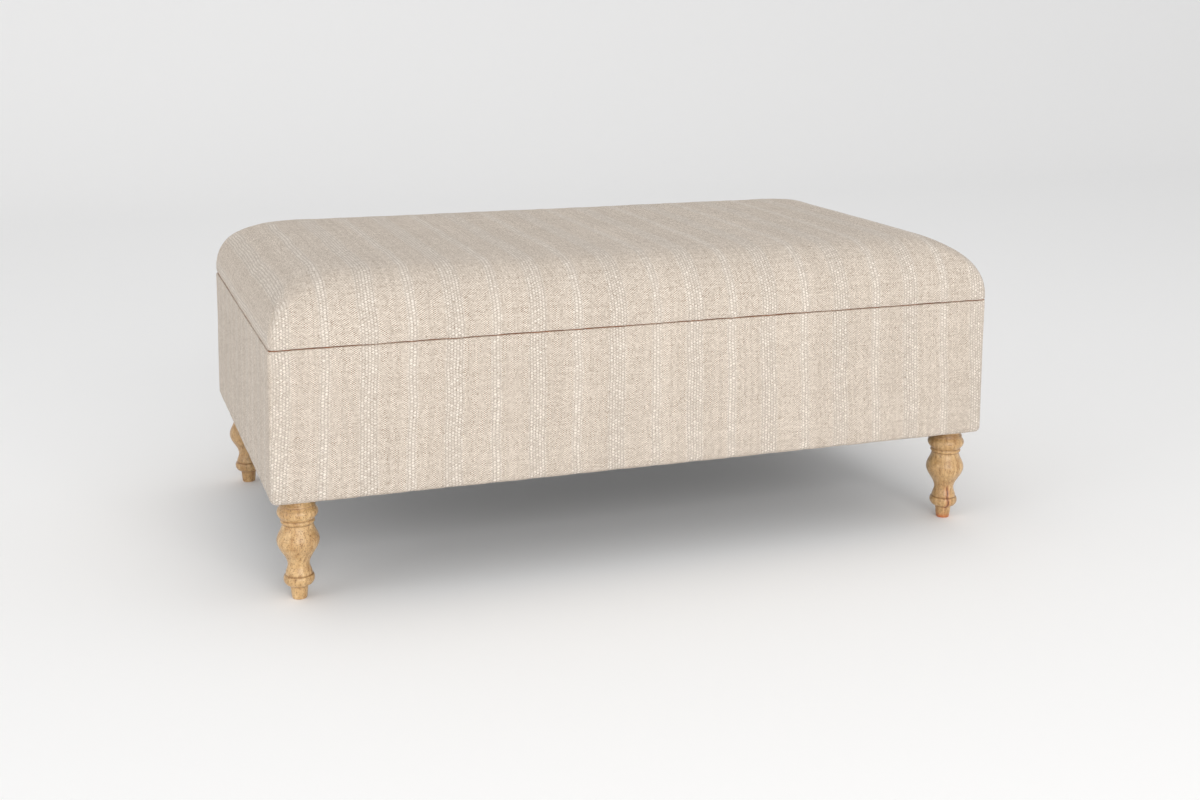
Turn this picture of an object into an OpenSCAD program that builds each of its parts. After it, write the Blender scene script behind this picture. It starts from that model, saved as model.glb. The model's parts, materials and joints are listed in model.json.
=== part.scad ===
// Upholstered storage ottoman: a fabric-covered box on four turned legs, closed by a padded lid
// that swings up on three butt hinges and is carried by two gas struts.
// Millimetres, +Z up, the front faces -Y, and the origin is on the floor under the middle.

/* [Overall] */
// Width over the covers
body_w = 1100; // [1000:10:1200]
// Depth from the front cover to the back of the hinge knuckles
body_d = 620; // [580:10:660]
// Height from the floor to the top of the lid
body_h = 450; // [440:5:480]
// Height of the middle of the gap between the lid and the box
seam_z = 357; // [354:1:360]
// Height of the gap between the lid and the box
seam_gap = 3; // [2.8:0.1:4]

/* [Upholstery] */
// Thickness of the cover fabric
cover_t = 1.5; // [1:0.1:1.5]
// Depth of wadding and cover outside the boards
skin_t = 5; // [5:0.5:8]
// Radius of the upright corners of the covers
corner_r = 9; // [8:1:14]
// Radius of the soft edge all round the top of the lid
lid_edge_r = 80; // [60:1:84]
// Radius of the bottom edges of the box cover
box_foot_r = 7; // [6:1:10]
// Radius of the edges beside the gap at the front and sides
seam_r = 3; // [2:0.5:4]
// Radius of the edges beside the gap at the back, which leaves room for the knuckles
seam_back_r = 8; // [7.5:0.5:9]
// Width of the cover hem that is turned under the box and under the lid
hem_w = 36; // [25:1:40]

/* [Carcass] */
// Thickness of the side boards and the lid board
board_t = 15; // [12:1:18]
// Thickness of the floor board
floor_t = 9; // [6:1:12]
// Height of the leg blocks and cleats under the floor board
block_h = 24; // [20:1:30]
// Length and width of a leg block
block_w = 70; // [60:1:80]

/* [Legs] */
// Height of a turned leg
leg_h = 146; // [146:1:146]
// Distance from the end cover to the leg's axis
leg_inset_x = 40; // [36:1:46]
// Distance from the front or back cover to the leg's axis
leg_inset_y = 38; // [36:1:46]
// Radius of the widest part of the leg
leg_bulb_r = 29; // [26:0.5:32]

/* [Hinges] */
// Radius of a hinge knuckle
knuckle_r = 4; // [3.5:0.1:4]
// Length of a hinge
hinge_l = 64; // [50:1:80]
// Distance of the outer hinges from the middle
hinge_x = 380; // [300:10:420]
// Thickness of a hinge leaf
leaf_t = 1.2; // [1:0.1:1.2]

/* [Struts] */
// Distance of both strut pivots from the hinge axis
pivot_r = 165; // [165:1:170]
// Drop of the lid pivot below the hinge axis
lid_pivot_drop = 14; // [14:1:16]
// Angle of the box pivot below the horizontal, seen from the hinge axis
box_pivot_a = 75; // [74:1:76]
// Outer radius of the strut tube
tube_r = 7.5; // [7:0.5:8]
// Radius of the strut rod
rod_r = 3; // [2.5:0.5:4]

/* [Hidden] */
$fn = 64;

LEFT = -1;
RIGHT = 1;
FRONT = -1;
BACK = 1;
over = 1;             // overshoot of a cutting shape
gap = 0.1;            // gap between neighbouring pieces that are glued or stapled
thread_gap = 0.05;    // gap round a screw in its hole

// Outer faces of the covers
half_w = body_w / 2;
front_y = -body_d / 2;
hinge_y = body_d / 2 - knuckle_r;
back_y = hinge_y;
box_top_z = seam_z - seam_gap / 2;
lid_low_z = seam_z + seam_gap / 2;
box_low_z = leg_h - cover_t;

// Boards of the box
board_x = half_w - skin_t;
board_front_y = front_y + skin_t;
board_back_y = back_y - skin_t;
board_low_z = leg_h;
board_top_z = box_top_z - cover_t;
board_h = board_top_z - board_low_z;
cave_x = board_x - board_t;
cave_front_y = board_front_y + board_t;
cave_back_y = board_back_y - board_t;
floor_low_z = board_low_z + block_h;
floor_top_z = floor_low_z + floor_t;
easing = 4;           // chamfer on board edges under a rounded cover
turn_in_h = 30;       // depth of the cover turned down inside the rim
lining_t = 1;
cleat_w = 20;
rail_w = 40;

// Lid
lid_board_low_z = lid_low_z + cover_t;
lid_board_top_z = lid_board_low_z + board_t;
lid_board_inset = skin_t + 1;
lid_wadding_low_z = lid_low_z + seam_back_r + 1.5;

// Legs
leg_x = half_w - leg_inset_x;
leg_front_y = front_y + leg_inset_y;
leg_back_y = back_y - leg_inset_y;
leg_neck_r = 15;
leg_ring_r = 21.2;
leg_collar_r = 28;
leg_top_r = 23.5;
bolt_r = 3.9;
bolt_low_z = leg_h - 45;
bolt_top_z = leg_h + block_h - 4;
nut_r = 9.5;
nut_t = 1.6;
nut_barrel_r = 5.2;
nut_barrel_l = 11;

// Hinges
leaf_w = 19;
leaf_clear = 0.3;     // from a leaf to the middle of the gap
pin_r = 1.5;
pin_gap = 0.05;
knuckles = 5;
knuckle_l = hinge_l / knuckles;
knuckle_end_gap = 0.2;
leaf_screw_y = (cave_back_y + board_back_y) / 2;
leaf_screw_dx = 22;

// Struts, seen from the left: y and z of the two pivots
strut_x = 515;
lid_pivot = [hinge_y - sqrt(pivot_r * pivot_r - lid_pivot_drop * lid_pivot_drop), seam_z - lid_pivot_drop];
box_pivot = [hinge_y - pivot_r * cos(box_pivot_a), seam_z - pivot_r * sin(box_pivot_a)];
strut_l = norm(lid_pivot - box_pivot);
strut_tilt = atan2(box_pivot[0] - lid_pivot[0], lid_pivot[1] - box_pivot[1]);
eye_r = 8;
eye_t = 9;
stud_r = 4;
stud_gap = 0.05;
tube_start = 12;
tube_end = 168;
tube_wall = 1.1;
tube_plug = 6;
gland_l = 13;
piston_l = 6;
piston_at = 24.5;      // distance of the piston from the box pivot with the lid shut
rod_eye_l = 15;
bracket_t = 2;
bracket_x = cave_x - gap - lining_t - gap;
lid_bracket_x = 524;
clip_t = 1;
clip_r = 7;
stud_tip_x = strut_x - eye_t / 2 - clip_t - 1.5;
clip_x = strut_x - eye_t / 2 - 0.3;

rim_strip_t = 1.2;
rim_strip_w = 17;
bumper_r = 6;
bumper_t = seam_gap - rim_strip_t - 0.3;
bumper_x = [-530, -180, 180, 530];

// ---- shared shapes ----

// Removes a square corner outside a radius, at the origin of the plane
module corner_waste(r) {
  difference() {
    translate([-over, -over]) square(r + over);
    translate([r, r]) circle(r);
  }
}

// Rectangle from low to high; radii run from the low corner anticlockwise
module rounded_rect(low, high, radii) {
  difference() {
    translate(low) square(high - low);
    translate(low) corner_waste(radii[0]);
    translate([high[0], low[1]]) rotate(90) corner_waste(radii[1]);
    translate(high) rotate(180) corner_waste(radii[2]);
    translate([low[0], high[1]]) rotate(270) corner_waste(radii[3]);
  }
}

// Solid with rounded upright corners and its own edge radii at the front and ends, and at the back
module soft_block(inset, low_z, top_z, low_r, low_back_r, top_r, top_back_r) {
  x = half_w - inset;
  y0 = front_y + inset;
  y1 = back_y - inset;
  intersection() {
    translate([0, 0, low_z]) linear_extrude(top_z - low_z)
      rounded_rect([-x, y0], [x, y1], [for (i = [0:3]) corner_r - inset]);
    rotate([90, 0, 90]) translate([0, 0, -x - over]) linear_extrude(2 * (x + over))
      rounded_rect([y0, low_z], [y1, top_z], [low_r, low_back_r, top_back_r, top_r]);
    rotate([90, 0, 0]) translate([0, 0, -y1 - over]) linear_extrude(y1 - y0 + 2 * over)
      rounded_rect([-x, low_z], [x, top_z], [low_r, low_r, top_r, top_r]);
  }
}

module box_shape(inset) {
  soft_block(inset, box_low_z + inset, box_top_z - inset,
    box_foot_r - inset, box_foot_r - inset, seam_r - inset, seam_back_r - inset);
}

module lid_shape(inset, low_inset) {
  r = lid_edge_r - inset;
  soft_block(inset, lid_low_z + low_inset, body_h - inset,
    max(seam_r - inset, 0.5), max(seam_back_r - inset, 0.5), r, r);
}

module slab(x0, x1, y0, y1, z0, z1) {
  translate([x0, y0, z0]) cube([x1 - x0, y1 - y0, z1 - z0]);
}

// Countersunk screw along +Z with its head's top at the origin, pointing down
module screw(length, r, grow = 0) {
  head_r = 2.1 * r;
  head_l = 1.1 * r;
  translate([0, 0, -length]) cylinder(h = length, r = r + grow);
  translate([0, 0, -head_l - grow]) cylinder(h = head_l + grow, r1 = r + grow, r2 = head_r + grow);
}

module at_corners(x, y_front, y_back) {
  for (sx = [LEFT, RIGHT])
    for (y = [y_front, y_back])
      translate([sx * x, y, 0]) children();
}

// ---- carcass ----

carcass_screw_z = [board_low_z + 30, board_low_z + board_h / 2, board_top_z - 30];

module carcass_screw_set(grow = 0) {
  x = board_x - board_t / 2;
  for (sx = [LEFT, RIGHT])
    for (z = carcass_screw_z) {
      translate([sx * x, board_front_y, z]) rotate([90, 0, 0]) screw(45, 2, grow);
      translate([sx * x, board_back_y, z]) rotate([-90, 0, 0]) screw(45, 2, grow);
    }
}

floor_screw_x = [-400, -150, 150, 400];

module floor_screw_set(grow = 0) {
  for (x = floor_screw_x)
    for (y = [cave_front_y + cleat_w / 2, cave_back_y - cleat_w / 2])
      translate([x, y, floor_top_z]) screw(25, 1.75, grow);
}

module long_panel(side) {
  // section of the board from its inner face, with its outer edges eased
  outer = side == FRONT ? board_front_y : board_back_y;
  top_easing = side == FRONT ? 0.5 : easing;
  section = [
    [outer - side * board_t, board_low_z],
    [outer - side * easing, board_low_z],
    [outer, board_low_z + easing],
    [outer, board_top_z - top_easing],
    [outer - side * top_easing, board_top_z],
    [outer - side * board_t, board_top_z]
  ];
  rotate([90, 0, 90]) translate([0, 0, -board_x]) linear_extrude(2 * board_x) polygon(section);
}

module front_panel() {
  color("tan") difference() {
    long_panel(FRONT);
    carcass_screw_set(thread_gap);
  }
}

module back_panel() {
  color("tan") difference() {
    long_panel(BACK);
    carcass_screw_set(thread_gap);
    hinge_box_screw_set(thread_gap);
  }
}

module end_panel(side) {
  section = [
    [side * cave_x, board_low_z],
    [side * (board_x - easing), board_low_z],
    [side * board_x, board_low_z + easing],
    [side * board_x, board_top_z],
    [side * cave_x, board_top_z]
  ];
  color("tan") difference() {
    rotate([90, 0, 0]) translate([0, 0, -cave_back_y])
      linear_extrude(cave_back_y - cave_front_y) polygon(section);
    carcass_screw_set(thread_gap);
    strut_box_screw_set(thread_gap);
  }
}

module floor_panel() {
  color("burlywood") difference() {
    slab(-cave_x + gap, cave_x - gap, cave_front_y + gap, cave_back_y - gap, floor_low_z, floor_top_z);
    floor_screw_set(thread_gap);
  }
}

// Hardwood block that a leg's hanger bolt screws into, with a tee nut let into its top
module leg_block(sx, side) {
  x0 = sx == LEFT ? -cave_x + gap : cave_x - gap - block_w;
  y0 = side == FRONT ? cave_front_y + gap : cave_back_y - gap - block_w;
  color("peru") difference() {
    slab(x0, x0 + block_w, y0, y0 + block_w, board_low_z, floor_low_z - gap);
    translate([sx * leg_x, side == FRONT ? leg_front_y : leg_back_y, 0]) {
      translate([0, 0, board_low_z - over]) cylinder(h = block_h + 2 * over, r = nut_barrel_r + gap);
      translate([0, 0, floor_low_z - nut_t - 2 * gap]) cylinder(h = nut_t + over, r = nut_r + gap);
    }
  }
}

module floor_cleat(side) {
  x = cave_x - block_w - 5;
  y0 = side == FRONT ? cave_front_y + gap : cave_back_y - gap - cleat_w;
  color("peru") difference() {
    slab(-x, x, y0, y0 + cleat_w, board_low_z, floor_low_z);
    floor_screw_set(thread_gap);
  }
}

module centre_rail() {
  color("peru") slab(-rail_w / 2, rail_w / 2, cave_front_y + cleat_w + 2 * gap,
    cave_back_y - cleat_w - 2 * gap, board_low_z, floor_low_z);
}

module carcass_screws() {
  color("silver") carcass_screw_set();
}

module floor_screws() {
  color("silver") floor_screw_set();
}

// ---- upholstery of the box ----

module box_wadding() {
  low = box_low_z + box_foot_r + 3;
  top = box_top_z - seam_back_r - 3;
  color("white") difference() {
    translate([0, 0, low]) linear_extrude(top - low)
      rounded_rect([-half_w + cover_t + gap, front_y + cover_t + gap],
        [half_w - cover_t - gap, back_y - cover_t - gap], [for (i = [0:3]) corner_r - cover_t]);
    slab(-board_x - gap, board_x + gap, board_front_y - gap, board_back_y + gap, low - over, top + over);
  }
}

module box_cover() {
  inner_x = cave_x - cover_t;
  inner_y0 = cave_front_y + cover_t;
  inner_y1 = cave_back_y - cover_t;
  color("wheat") difference() {
    box_shape(0);
    difference() {
      box_shape(cover_t);
      slab(-cave_x + gap, cave_x - gap, cave_front_y + gap, cave_back_y - gap,
        board_top_z - turn_in_h, board_top_z + over);
    }
    slab(-inner_x, inner_x, inner_y0, inner_y1, board_low_z + over, box_top_z + over);
    slab(-half_w + hem_w, half_w - hem_w, front_y + hem_w, back_y - hem_w,
      box_low_z - over, board_low_z + over);
    at_corners(leg_x, leg_front_y, leg_back_y)
      translate([0, 0, box_low_z - over]) cylinder(h = cover_t + 2 * over, r = leg_top_r + 0.5);
    hinge_box_screw_set(thread_gap);
  }
}

module box_lining() {
  top = board_top_z - turn_in_h - gap;
  x = cave_x - gap;
  y0 = cave_front_y + gap;
  y1 = cave_back_y - gap;
  color("dimgray") difference() {
    slab(-x, x, y0, y1, floor_top_z, top);
    slab(-x + lining_t, x - lining_t, y0 + lining_t, y1 - lining_t, floor_top_z + lining_t, top + over);
    strut_box_screw_set(thread_gap);
  }
}

module dust_cover() {
  inset = 10;
  t = 0.7;
  color("black") difference() {
    slab(-half_w + inset, half_w - inset, front_y + inset, back_y - inset, box_low_z - t, box_low_z);
    at_corners(leg_x, leg_front_y, leg_back_y)
      translate([0, 0, box_low_z - t - over]) cylinder(h = t + 2 * over, r = leg_top_r + 0.5);
  }
}

// Thin hardwood strip on the rim at the front and the ends, which the lid's bumpers land on
module rim_strip() {
  x = half_w - seam_r - 1;
  y0 = front_y + seam_r + 1;
  y1 = back_y - seam_back_r;
  top = box_top_z + rim_strip_t;
  color("sienna") difference() {
    slab(-x, x, y0, y1, box_top_z, top);
    slab(-x + rim_strip_w, x - rim_strip_w, y0 + rim_strip_w, y1 + over, box_top_z - over, top + over);
  }
}

// ---- legs ----

// Outline points from z0 to z1 (not including z1) that swell from r to r_mid and back
function bead(z0, z1, r, r_mid, n = 8) =
  [for (i = [0:n - 1]) [r + (r_mid - r) * sin(180 * i / n), z0 + (z1 - z0) * i / n]];

// Outline points that ease from one radius to another
function sweep_to(z0, r0, z1, r1, n = 8) =
  [for (i = [0:n - 1]) [r0 + (r1 - r0) * (1 - cos(180 * i / n)) / 2, z0 + (z1 - z0) * i / n]];

// Quarter round that starts straight out and turns up along the axis
function quarter(z0, r0, z1, r1, n = 5) =
  [for (i = [0:n - 1]) [r0 + (r1 - r0) * sin(90 * i / n), z0 + (z1 - z0) * (1 - cos(90 * i / n))]];

// Quarter round that starts along the axis and turns in
function round_over(z0, r0, z1, r1, n = 5) =
  [for (i = [0:n - 1]) [r1 + (r0 - r1) * cos(90 * i / n), z0 + (z1 - z0) * sin(90 * i / n)]];

leg_outline = concat(
  [[0, 0], [9.2, 0]],
  [[10.3, 1.6]],                                        // rounded foot
  [[12.2, 18.8]],                                       // tapered peg
  quarter(19.4, 12.9, 29, leg_ring_r),                  // underside of the ring
  round_over(29, leg_ring_r, 34.5, 18.9),               // top of the ring
  sweep_to(35.4, 18.4, 49.5, leg_neck_r),               // cove down to the neck
  sweep_to(49.5, leg_neck_r, 84, leg_bulb_r, 12),       // bulb
  sweep_to(84, leg_bulb_r, 108, 21.2, 10),
  bead(108, 114, 21.6, 23.4, 5),                        // fillet bead
  bead(114, 134, 22.6, leg_collar_r, 10),               // collar
  sweep_to(134, 24.6, 140, 22.2, 4),                    // cove over the collar
  [[leg_top_r, 141.5], [leg_top_r, leg_h], [0, leg_h]]
);

module leg() {
  color("burlywood") difference() {
    rotate_extrude() polygon(leg_outline);
    translate([0, 0, bolt_low_z - gap]) cylinder(h = leg_h, r = bolt_r + thread_gap);
  }
}

module hanger_bolts() {
  color("silver") at_corners(leg_x, leg_front_y, leg_back_y)
    translate([0, 0, bolt_low_z]) cylinder(h = bolt_top_z - bolt_low_z, r = bolt_r);
}

module tee_nuts() {
  top = floor_low_z - 2 * gap;
  color("gray") at_corners(leg_x, leg_front_y, leg_back_y) difference() {
    union() {
      translate([0, 0, top - nut_t]) cylinder(h = nut_t, r = nut_r);
      translate([0, 0, top - nut_barrel_l]) cylinder(h = nut_barrel_l, r = nut_barrel_r);
    }
    translate([0, 0, top - nut_barrel_l - over])
      cylinder(h = nut_barrel_l + 2 * over, r = bolt_r + thread_gap);
  }
}

// ---- hinges ----

hinge_places = [-hinge_x, 0, hinge_x];

module hinge_box_screw_set(grow = 0) {
  for (x = hinge_places)
    for (dx = [-leaf_screw_dx, 0, leaf_screw_dx])
      translate([x + dx, leaf_screw_y, seam_z - leaf_clear]) screw(19, 1.5, grow);
}

module hinge_lid_screw_set(grow = 0) {
  for (x = hinge_places)
    for (dx = [-leaf_screw_dx, 0, leaf_screw_dx])
      translate([x + dx, leaf_screw_y, seam_z + leaf_clear]) rotate([180, 0, 0]) screw(15, 1.5, grow);
}

// One leaf with its share of the knuckles; up is 1 for the lid's leaf and -1 for the box's
module hinge_leaf(x, up) {
  first = up == 1 ? 1 : 0;
  z0 = up == 1 ? leaf_clear : -leaf_clear - leaf_t;
  color("darkgoldenrod") translate([x, hinge_y, seam_z]) difference() {
    union() {
      slab(-hinge_l / 2, hinge_l / 2, -leaf_w, -knuckle_r - 0.35, z0, z0 + leaf_t);
      for (k = [first:2:knuckles - 1]) {
        x0 = -hinge_l / 2 + k * knuckle_l + knuckle_end_gap;
        x1 = x0 + knuckle_l - 2 * knuckle_end_gap;
        slab(x0, x1, -leaf_w / 2, -knuckle_r / 2 - 0.3, z0, z0 + leaf_t);
        translate([x0, 0, 0]) rotate([0, 90, 0]) cylinder(h = x1 - x0, r = knuckle_r);
      }
    }
    translate([-hinge_l, 0, 0]) rotate([0, 90, 0]) cylinder(h = 2 * hinge_l, r = pin_r + pin_gap);
    translate([-x, -hinge_y, -seam_z]) {
      hinge_box_screw_set(thread_gap);
      hinge_lid_screw_set(thread_gap);
    }
  }
}

module hinge_pin(x) {
  color("gold") translate([x - hinge_l / 2, hinge_y, seam_z]) rotate([0, 90, 0])
    cylinder(h = hinge_l, r = pin_r);
}

module hinge_box_screws() {
  color("gold") hinge_box_screw_set();
}

module hinge_lid_screws() {
  color("gold") hinge_lid_screw_set();
}

// ---- lid ----

module lid_cover() {
  color("wheat") difference() {
    lid_shape(0, 0);
    lid_shape(cover_t, cover_t);
    slab(-half_w + hem_w, half_w - hem_w, front_y + hem_w, back_y - hem_w,
      lid_low_z - over, lid_board_low_z + over);
    hinge_lid_screw_set(thread_gap);
  }
}

module lid_board() {
  x = half_w - lid_board_inset;
  y0 = front_y + lid_board_inset;
  y1 = back_y - lid_board_inset;
  section = [
    [y0, lid_board_low_z],
    [y1 - easing, lid_board_low_z],
    [y1, lid_board_low_z + easing],
    [y1, lid_board_top_z],
    [y0, lid_board_top_z]
  ];
  color("tan") difference() {
    rotate([90, 0, 90]) translate([0, 0, -x]) linear_extrude(2 * x) polygon(section);
    hinge_lid_screw_set(thread_gap);
    strut_lid_screw_set(thread_gap);
  }
}

module lid_wadding() {
  color("white") difference() {
    lid_shape(cover_t + 2 * gap, cover_t);
    lid_shape(skin_t - 2 * gap, cover_t);
    slab(-body_w, body_w, -body_d, body_d, 0, lid_wadding_low_z);
  }
}

module lid_foam() {
  color("khaki") difference() {
    lid_shape(skin_t, cover_t);
    slab(-body_w, body_w, -body_d, body_d, 0, lid_board_top_z + gap);
  }
}

module lid_lining() {
  t = 0.9;
  inset = hem_w + 1;
  color("dimgray") difference() {
    slab(-half_w + inset, half_w - inset, front_y + inset, back_y - inset,
      lid_board_low_z - gap - t, lid_board_low_z - gap);
    strut_lid_screw_set(thread_gap);
  }
}

module lid_bumpers() {
  color("darkslategray") for (x = bumper_x)
    translate([x, cave_front_y - board_t / 2, lid_low_z - bumper_t]) cylinder(h = bumper_t, r = bumper_r);
}

// ---- struts ----

module strut_box_screw_set(grow = 0) {
  for (side = [LEFT, RIGHT])
    for (dz = [-11, 11])
      translate([side * (bracket_x - bracket_t), box_pivot[0], box_pivot[1] + dz])
        rotate([0, side * -90, 0]) screw(14, 1.75, grow);
}

lid_screw_x = 511.5;
lid_screw_dy = 15;

module strut_lid_screw_set(grow = 0) {
  for (side = [LEFT, RIGHT])
    for (dy = [-lid_screw_dy, lid_screw_dy])
      translate([side * lid_screw_x, lid_pivot[0] + dy, lid_low_z - bracket_t])
        rotate([180, 0, 0]) screw(14, 1.75, grow);
}

// Shouldered stud along X from a bracket's face towards the middle, drawn for the right side
module stud(face_x, pivot) {
  shoulder_x = strut_x + eye_t / 2 + 0.3;
  translate([stud_tip_x, pivot[0], pivot[1]]) rotate([0, 90, 0]) cylinder(h = face_x - stud_tip_x, r = stud_r);
  translate([shoulder_x, pivot[0], pivot[1]]) rotate([0, 90, 0]) cylinder(h = face_x - shoulder_x, r = 6);
}

module for_side(side) {
  if (side == LEFT) mirror([1, 0, 0]) children();
  else children();
}

module strut_box_bracket(side) {
  plate_h = 32;
  plate_w = 20;
  color("silver") difference() {
    for_side(side) union() {
      slab(bracket_x - bracket_t, bracket_x, box_pivot[0] - plate_w / 2, box_pivot[0] + plate_w / 2,
        box_pivot[1] - plate_h / 2, box_pivot[1] + plate_h / 2);
      stud(bracket_x - bracket_t / 2, box_pivot);
    }
    strut_box_screw_set(thread_gap);
  }
}

module strut_lid_bracket(side) {
  foot_x0 = 506;
  foot_l = 46;
  tab_w = 18;
  color("silver") difference() {
    for_side(side) union() {
      slab(foot_x0, lid_bracket_x, lid_pivot[0] - foot_l / 2, lid_pivot[0] + foot_l / 2,
        lid_low_z - bracket_t, lid_low_z);
      slab(lid_bracket_x - bracket_t, lid_bracket_x, lid_pivot[0] - tab_w / 2, lid_pivot[0] + tab_w / 2,
        lid_pivot[1], lid_low_z - bracket_t / 2);
      translate([lid_bracket_x - bracket_t, lid_pivot[0], lid_pivot[1]]) rotate([0, 90, 0])
        cylinder(h = bracket_t, r = tab_w / 2);
      stud(lid_bracket_x - bracket_t / 2, lid_pivot);
    }
    strut_lid_screw_set(thread_gap);
  }
}

module strut_box_bracket_screws() {
  color("gray") strut_box_screw_set();
}

module strut_lid_bracket_screws() {
  color("gray") strut_lid_screw_set();
}

// Spring clips that keep the eyes on their studs
module clips(pivot) {
  color("dimgray") for (side = [LEFT, RIGHT])
    for_side(side) translate([clip_x - clip_t, pivot[0], pivot[1]]) rotate([0, 90, 0]) difference() {
      cylinder(h = clip_t, r = clip_r);
      translate([0, 0, -over]) cylinder(h = clip_t + 2 * over, r = stud_r + thread_gap);
    }
}

// Puts a shape whose +Z runs from the box pivot to the lid pivot in its place with the lid shut
module along_strut(side) {
  translate([side * strut_x, box_pivot[0], box_pivot[1]]) rotate([strut_tilt, 0, 0]) children();
}

module eye(z) {
  translate([-eye_t / 2, 0, z]) rotate([0, 90, 0]) cylinder(h = eye_t, r = eye_r);
}

module eye_bore(z) {
  translate([-eye_t, 0, z]) rotate([0, 90, 0]) cylinder(h = 2 * eye_t, r = stud_r + stud_gap);
}

module strut_tube(side) {
  color("black") along_strut(side) difference() {
    union() {
      eye(0);
      cylinder(h = tube_start + 1, r = 4.5);
      translate([0, 0, tube_start]) cylinder(h = tube_end - tube_start, r = tube_r);
    }
    eye_bore(0);
    translate([0, 0, tube_start + tube_plug]) cylinder(h = tube_end, r = tube_r - tube_wall);
  }
}

module strut_gland(side) {
  color("dimgray") along_strut(side) translate([0, 0, tube_end - gland_l]) difference() {
    cylinder(h = gland_l, r = tube_r - tube_wall - thread_gap);
    translate([0, 0, -over]) cylinder(h = gland_l + 2 * over, r = rod_r + 0.3);
  }
}

module strut_rod(side) {
  color("gainsboro") along_strut(side) translate([0, 0, piston_at])
    cylinder(h = strut_l - rod_eye_l / 2 - piston_at, r = rod_r);
}

module strut_piston(side) {
  color("goldenrod") along_strut(side) translate([0, 0, piston_at - piston_l]) difference() {
    cylinder(h = piston_l + 3, r = tube_r - tube_wall - 0.35);
    translate([0, 0, piston_l]) cylinder(h = 3 + over, r = rod_r + thread_gap);
  }
}

module strut_rod_eye(side) {
  color("dimgray") along_strut(side) difference() {
    union() {
      eye(strut_l);
      translate([0, 0, strut_l - rod_eye_l]) cylinder(h = rod_eye_l, r = 4.5);
    }
    eye_bore(strut_l);
    translate([0, 0, strut_l - rod_eye_l - over])
      cylinder(h = rod_eye_l / 2 + over + gap, r = rod_r + thread_gap);
  }
}

front_panel();
back_panel();
end_panel(LEFT);  // left_panel
end_panel(RIGHT);  // right_panel
floor_panel();
leg_block(LEFT, FRONT);  // leg_block_front_left
leg_block(RIGHT, FRONT);  // leg_block_front_right
leg_block(LEFT, BACK);  // leg_block_back_left
leg_block(RIGHT, BACK);  // leg_block_back_right
floor_cleat(FRONT);  // floor_cleat_front
floor_cleat(BACK);  // floor_cleat_back
centre_rail();
carcass_screws();
floor_screws();
box_wadding();
box_cover();
box_lining();
dust_cover();
rim_strip();
translate([-leg_x, leg_front_y, 0]) leg();  // leg_front_left
translate([leg_x, leg_front_y, 0]) leg();  // leg_front_right
translate([-leg_x, leg_back_y, 0]) leg();  // leg_back_left
translate([leg_x, leg_back_y, 0]) leg();  // leg_back_right
hanger_bolts();
tee_nuts();
hinge_leaf(-hinge_x, -1);  // hinge_left_box_leaf
hinge_leaf(0, -1);  // hinge_middle_box_leaf
hinge_leaf(hinge_x, -1);  // hinge_right_box_leaf
hinge_pin(-hinge_x);  // hinge_left_pin
hinge_pin(0);  // hinge_middle_pin
hinge_pin(hinge_x);  // hinge_right_pin
hinge_box_screws();
strut_box_bracket(LEFT);  // strut_left_box_bracket
strut_box_bracket(RIGHT);  // strut_right_box_bracket
strut_box_bracket_screws();
clips(box_pivot);  // strut_box_clips
lid_board();
lid_foam();
lid_wadding();
lid_cover();
lid_lining();
hinge_leaf(-hinge_x, 1);  // hinge_left_lid_leaf
hinge_leaf(0, 1);  // hinge_middle_lid_leaf
hinge_leaf(hinge_x, 1);  // hinge_right_lid_leaf
hinge_lid_screws();
strut_lid_bracket(LEFT);  // strut_left_lid_bracket
strut_lid_bracket(RIGHT);  // strut_right_lid_bracket
strut_lid_bracket_screws();
clips(lid_pivot);  // strut_lid_clips
lid_bumpers();
strut_tube(LEFT);  // strut_left_tube
strut_gland(LEFT);  // strut_left_gland
strut_tube(RIGHT);  // strut_right_tube
strut_gland(RIGHT);  // strut_right_gland
strut_rod(LEFT);  // strut_left_rod
strut_piston(LEFT);  // strut_left_piston
strut_rod_eye(LEFT);  // strut_left_rod_eye
strut_rod(RIGHT);  // strut_right_rod
strut_piston(RIGHT);  // strut_right_piston
strut_rod_eye(RIGHT);  // strut_right_rod_eye
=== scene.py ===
"""The looks of a storage ottoman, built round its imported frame.

Metres, +Z up, the front faces -Y. Sizes and places come from the frame's own nodes, and each
soft or turned piece below is made as its own mesh and rides on the body that carries it.
"""

import json
import math
import random

import bmesh
import bpy
import numpy as np
from mathutils import Matrix, Vector, noise
from mathutils.geometry import delaunay_2d_cdt


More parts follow.
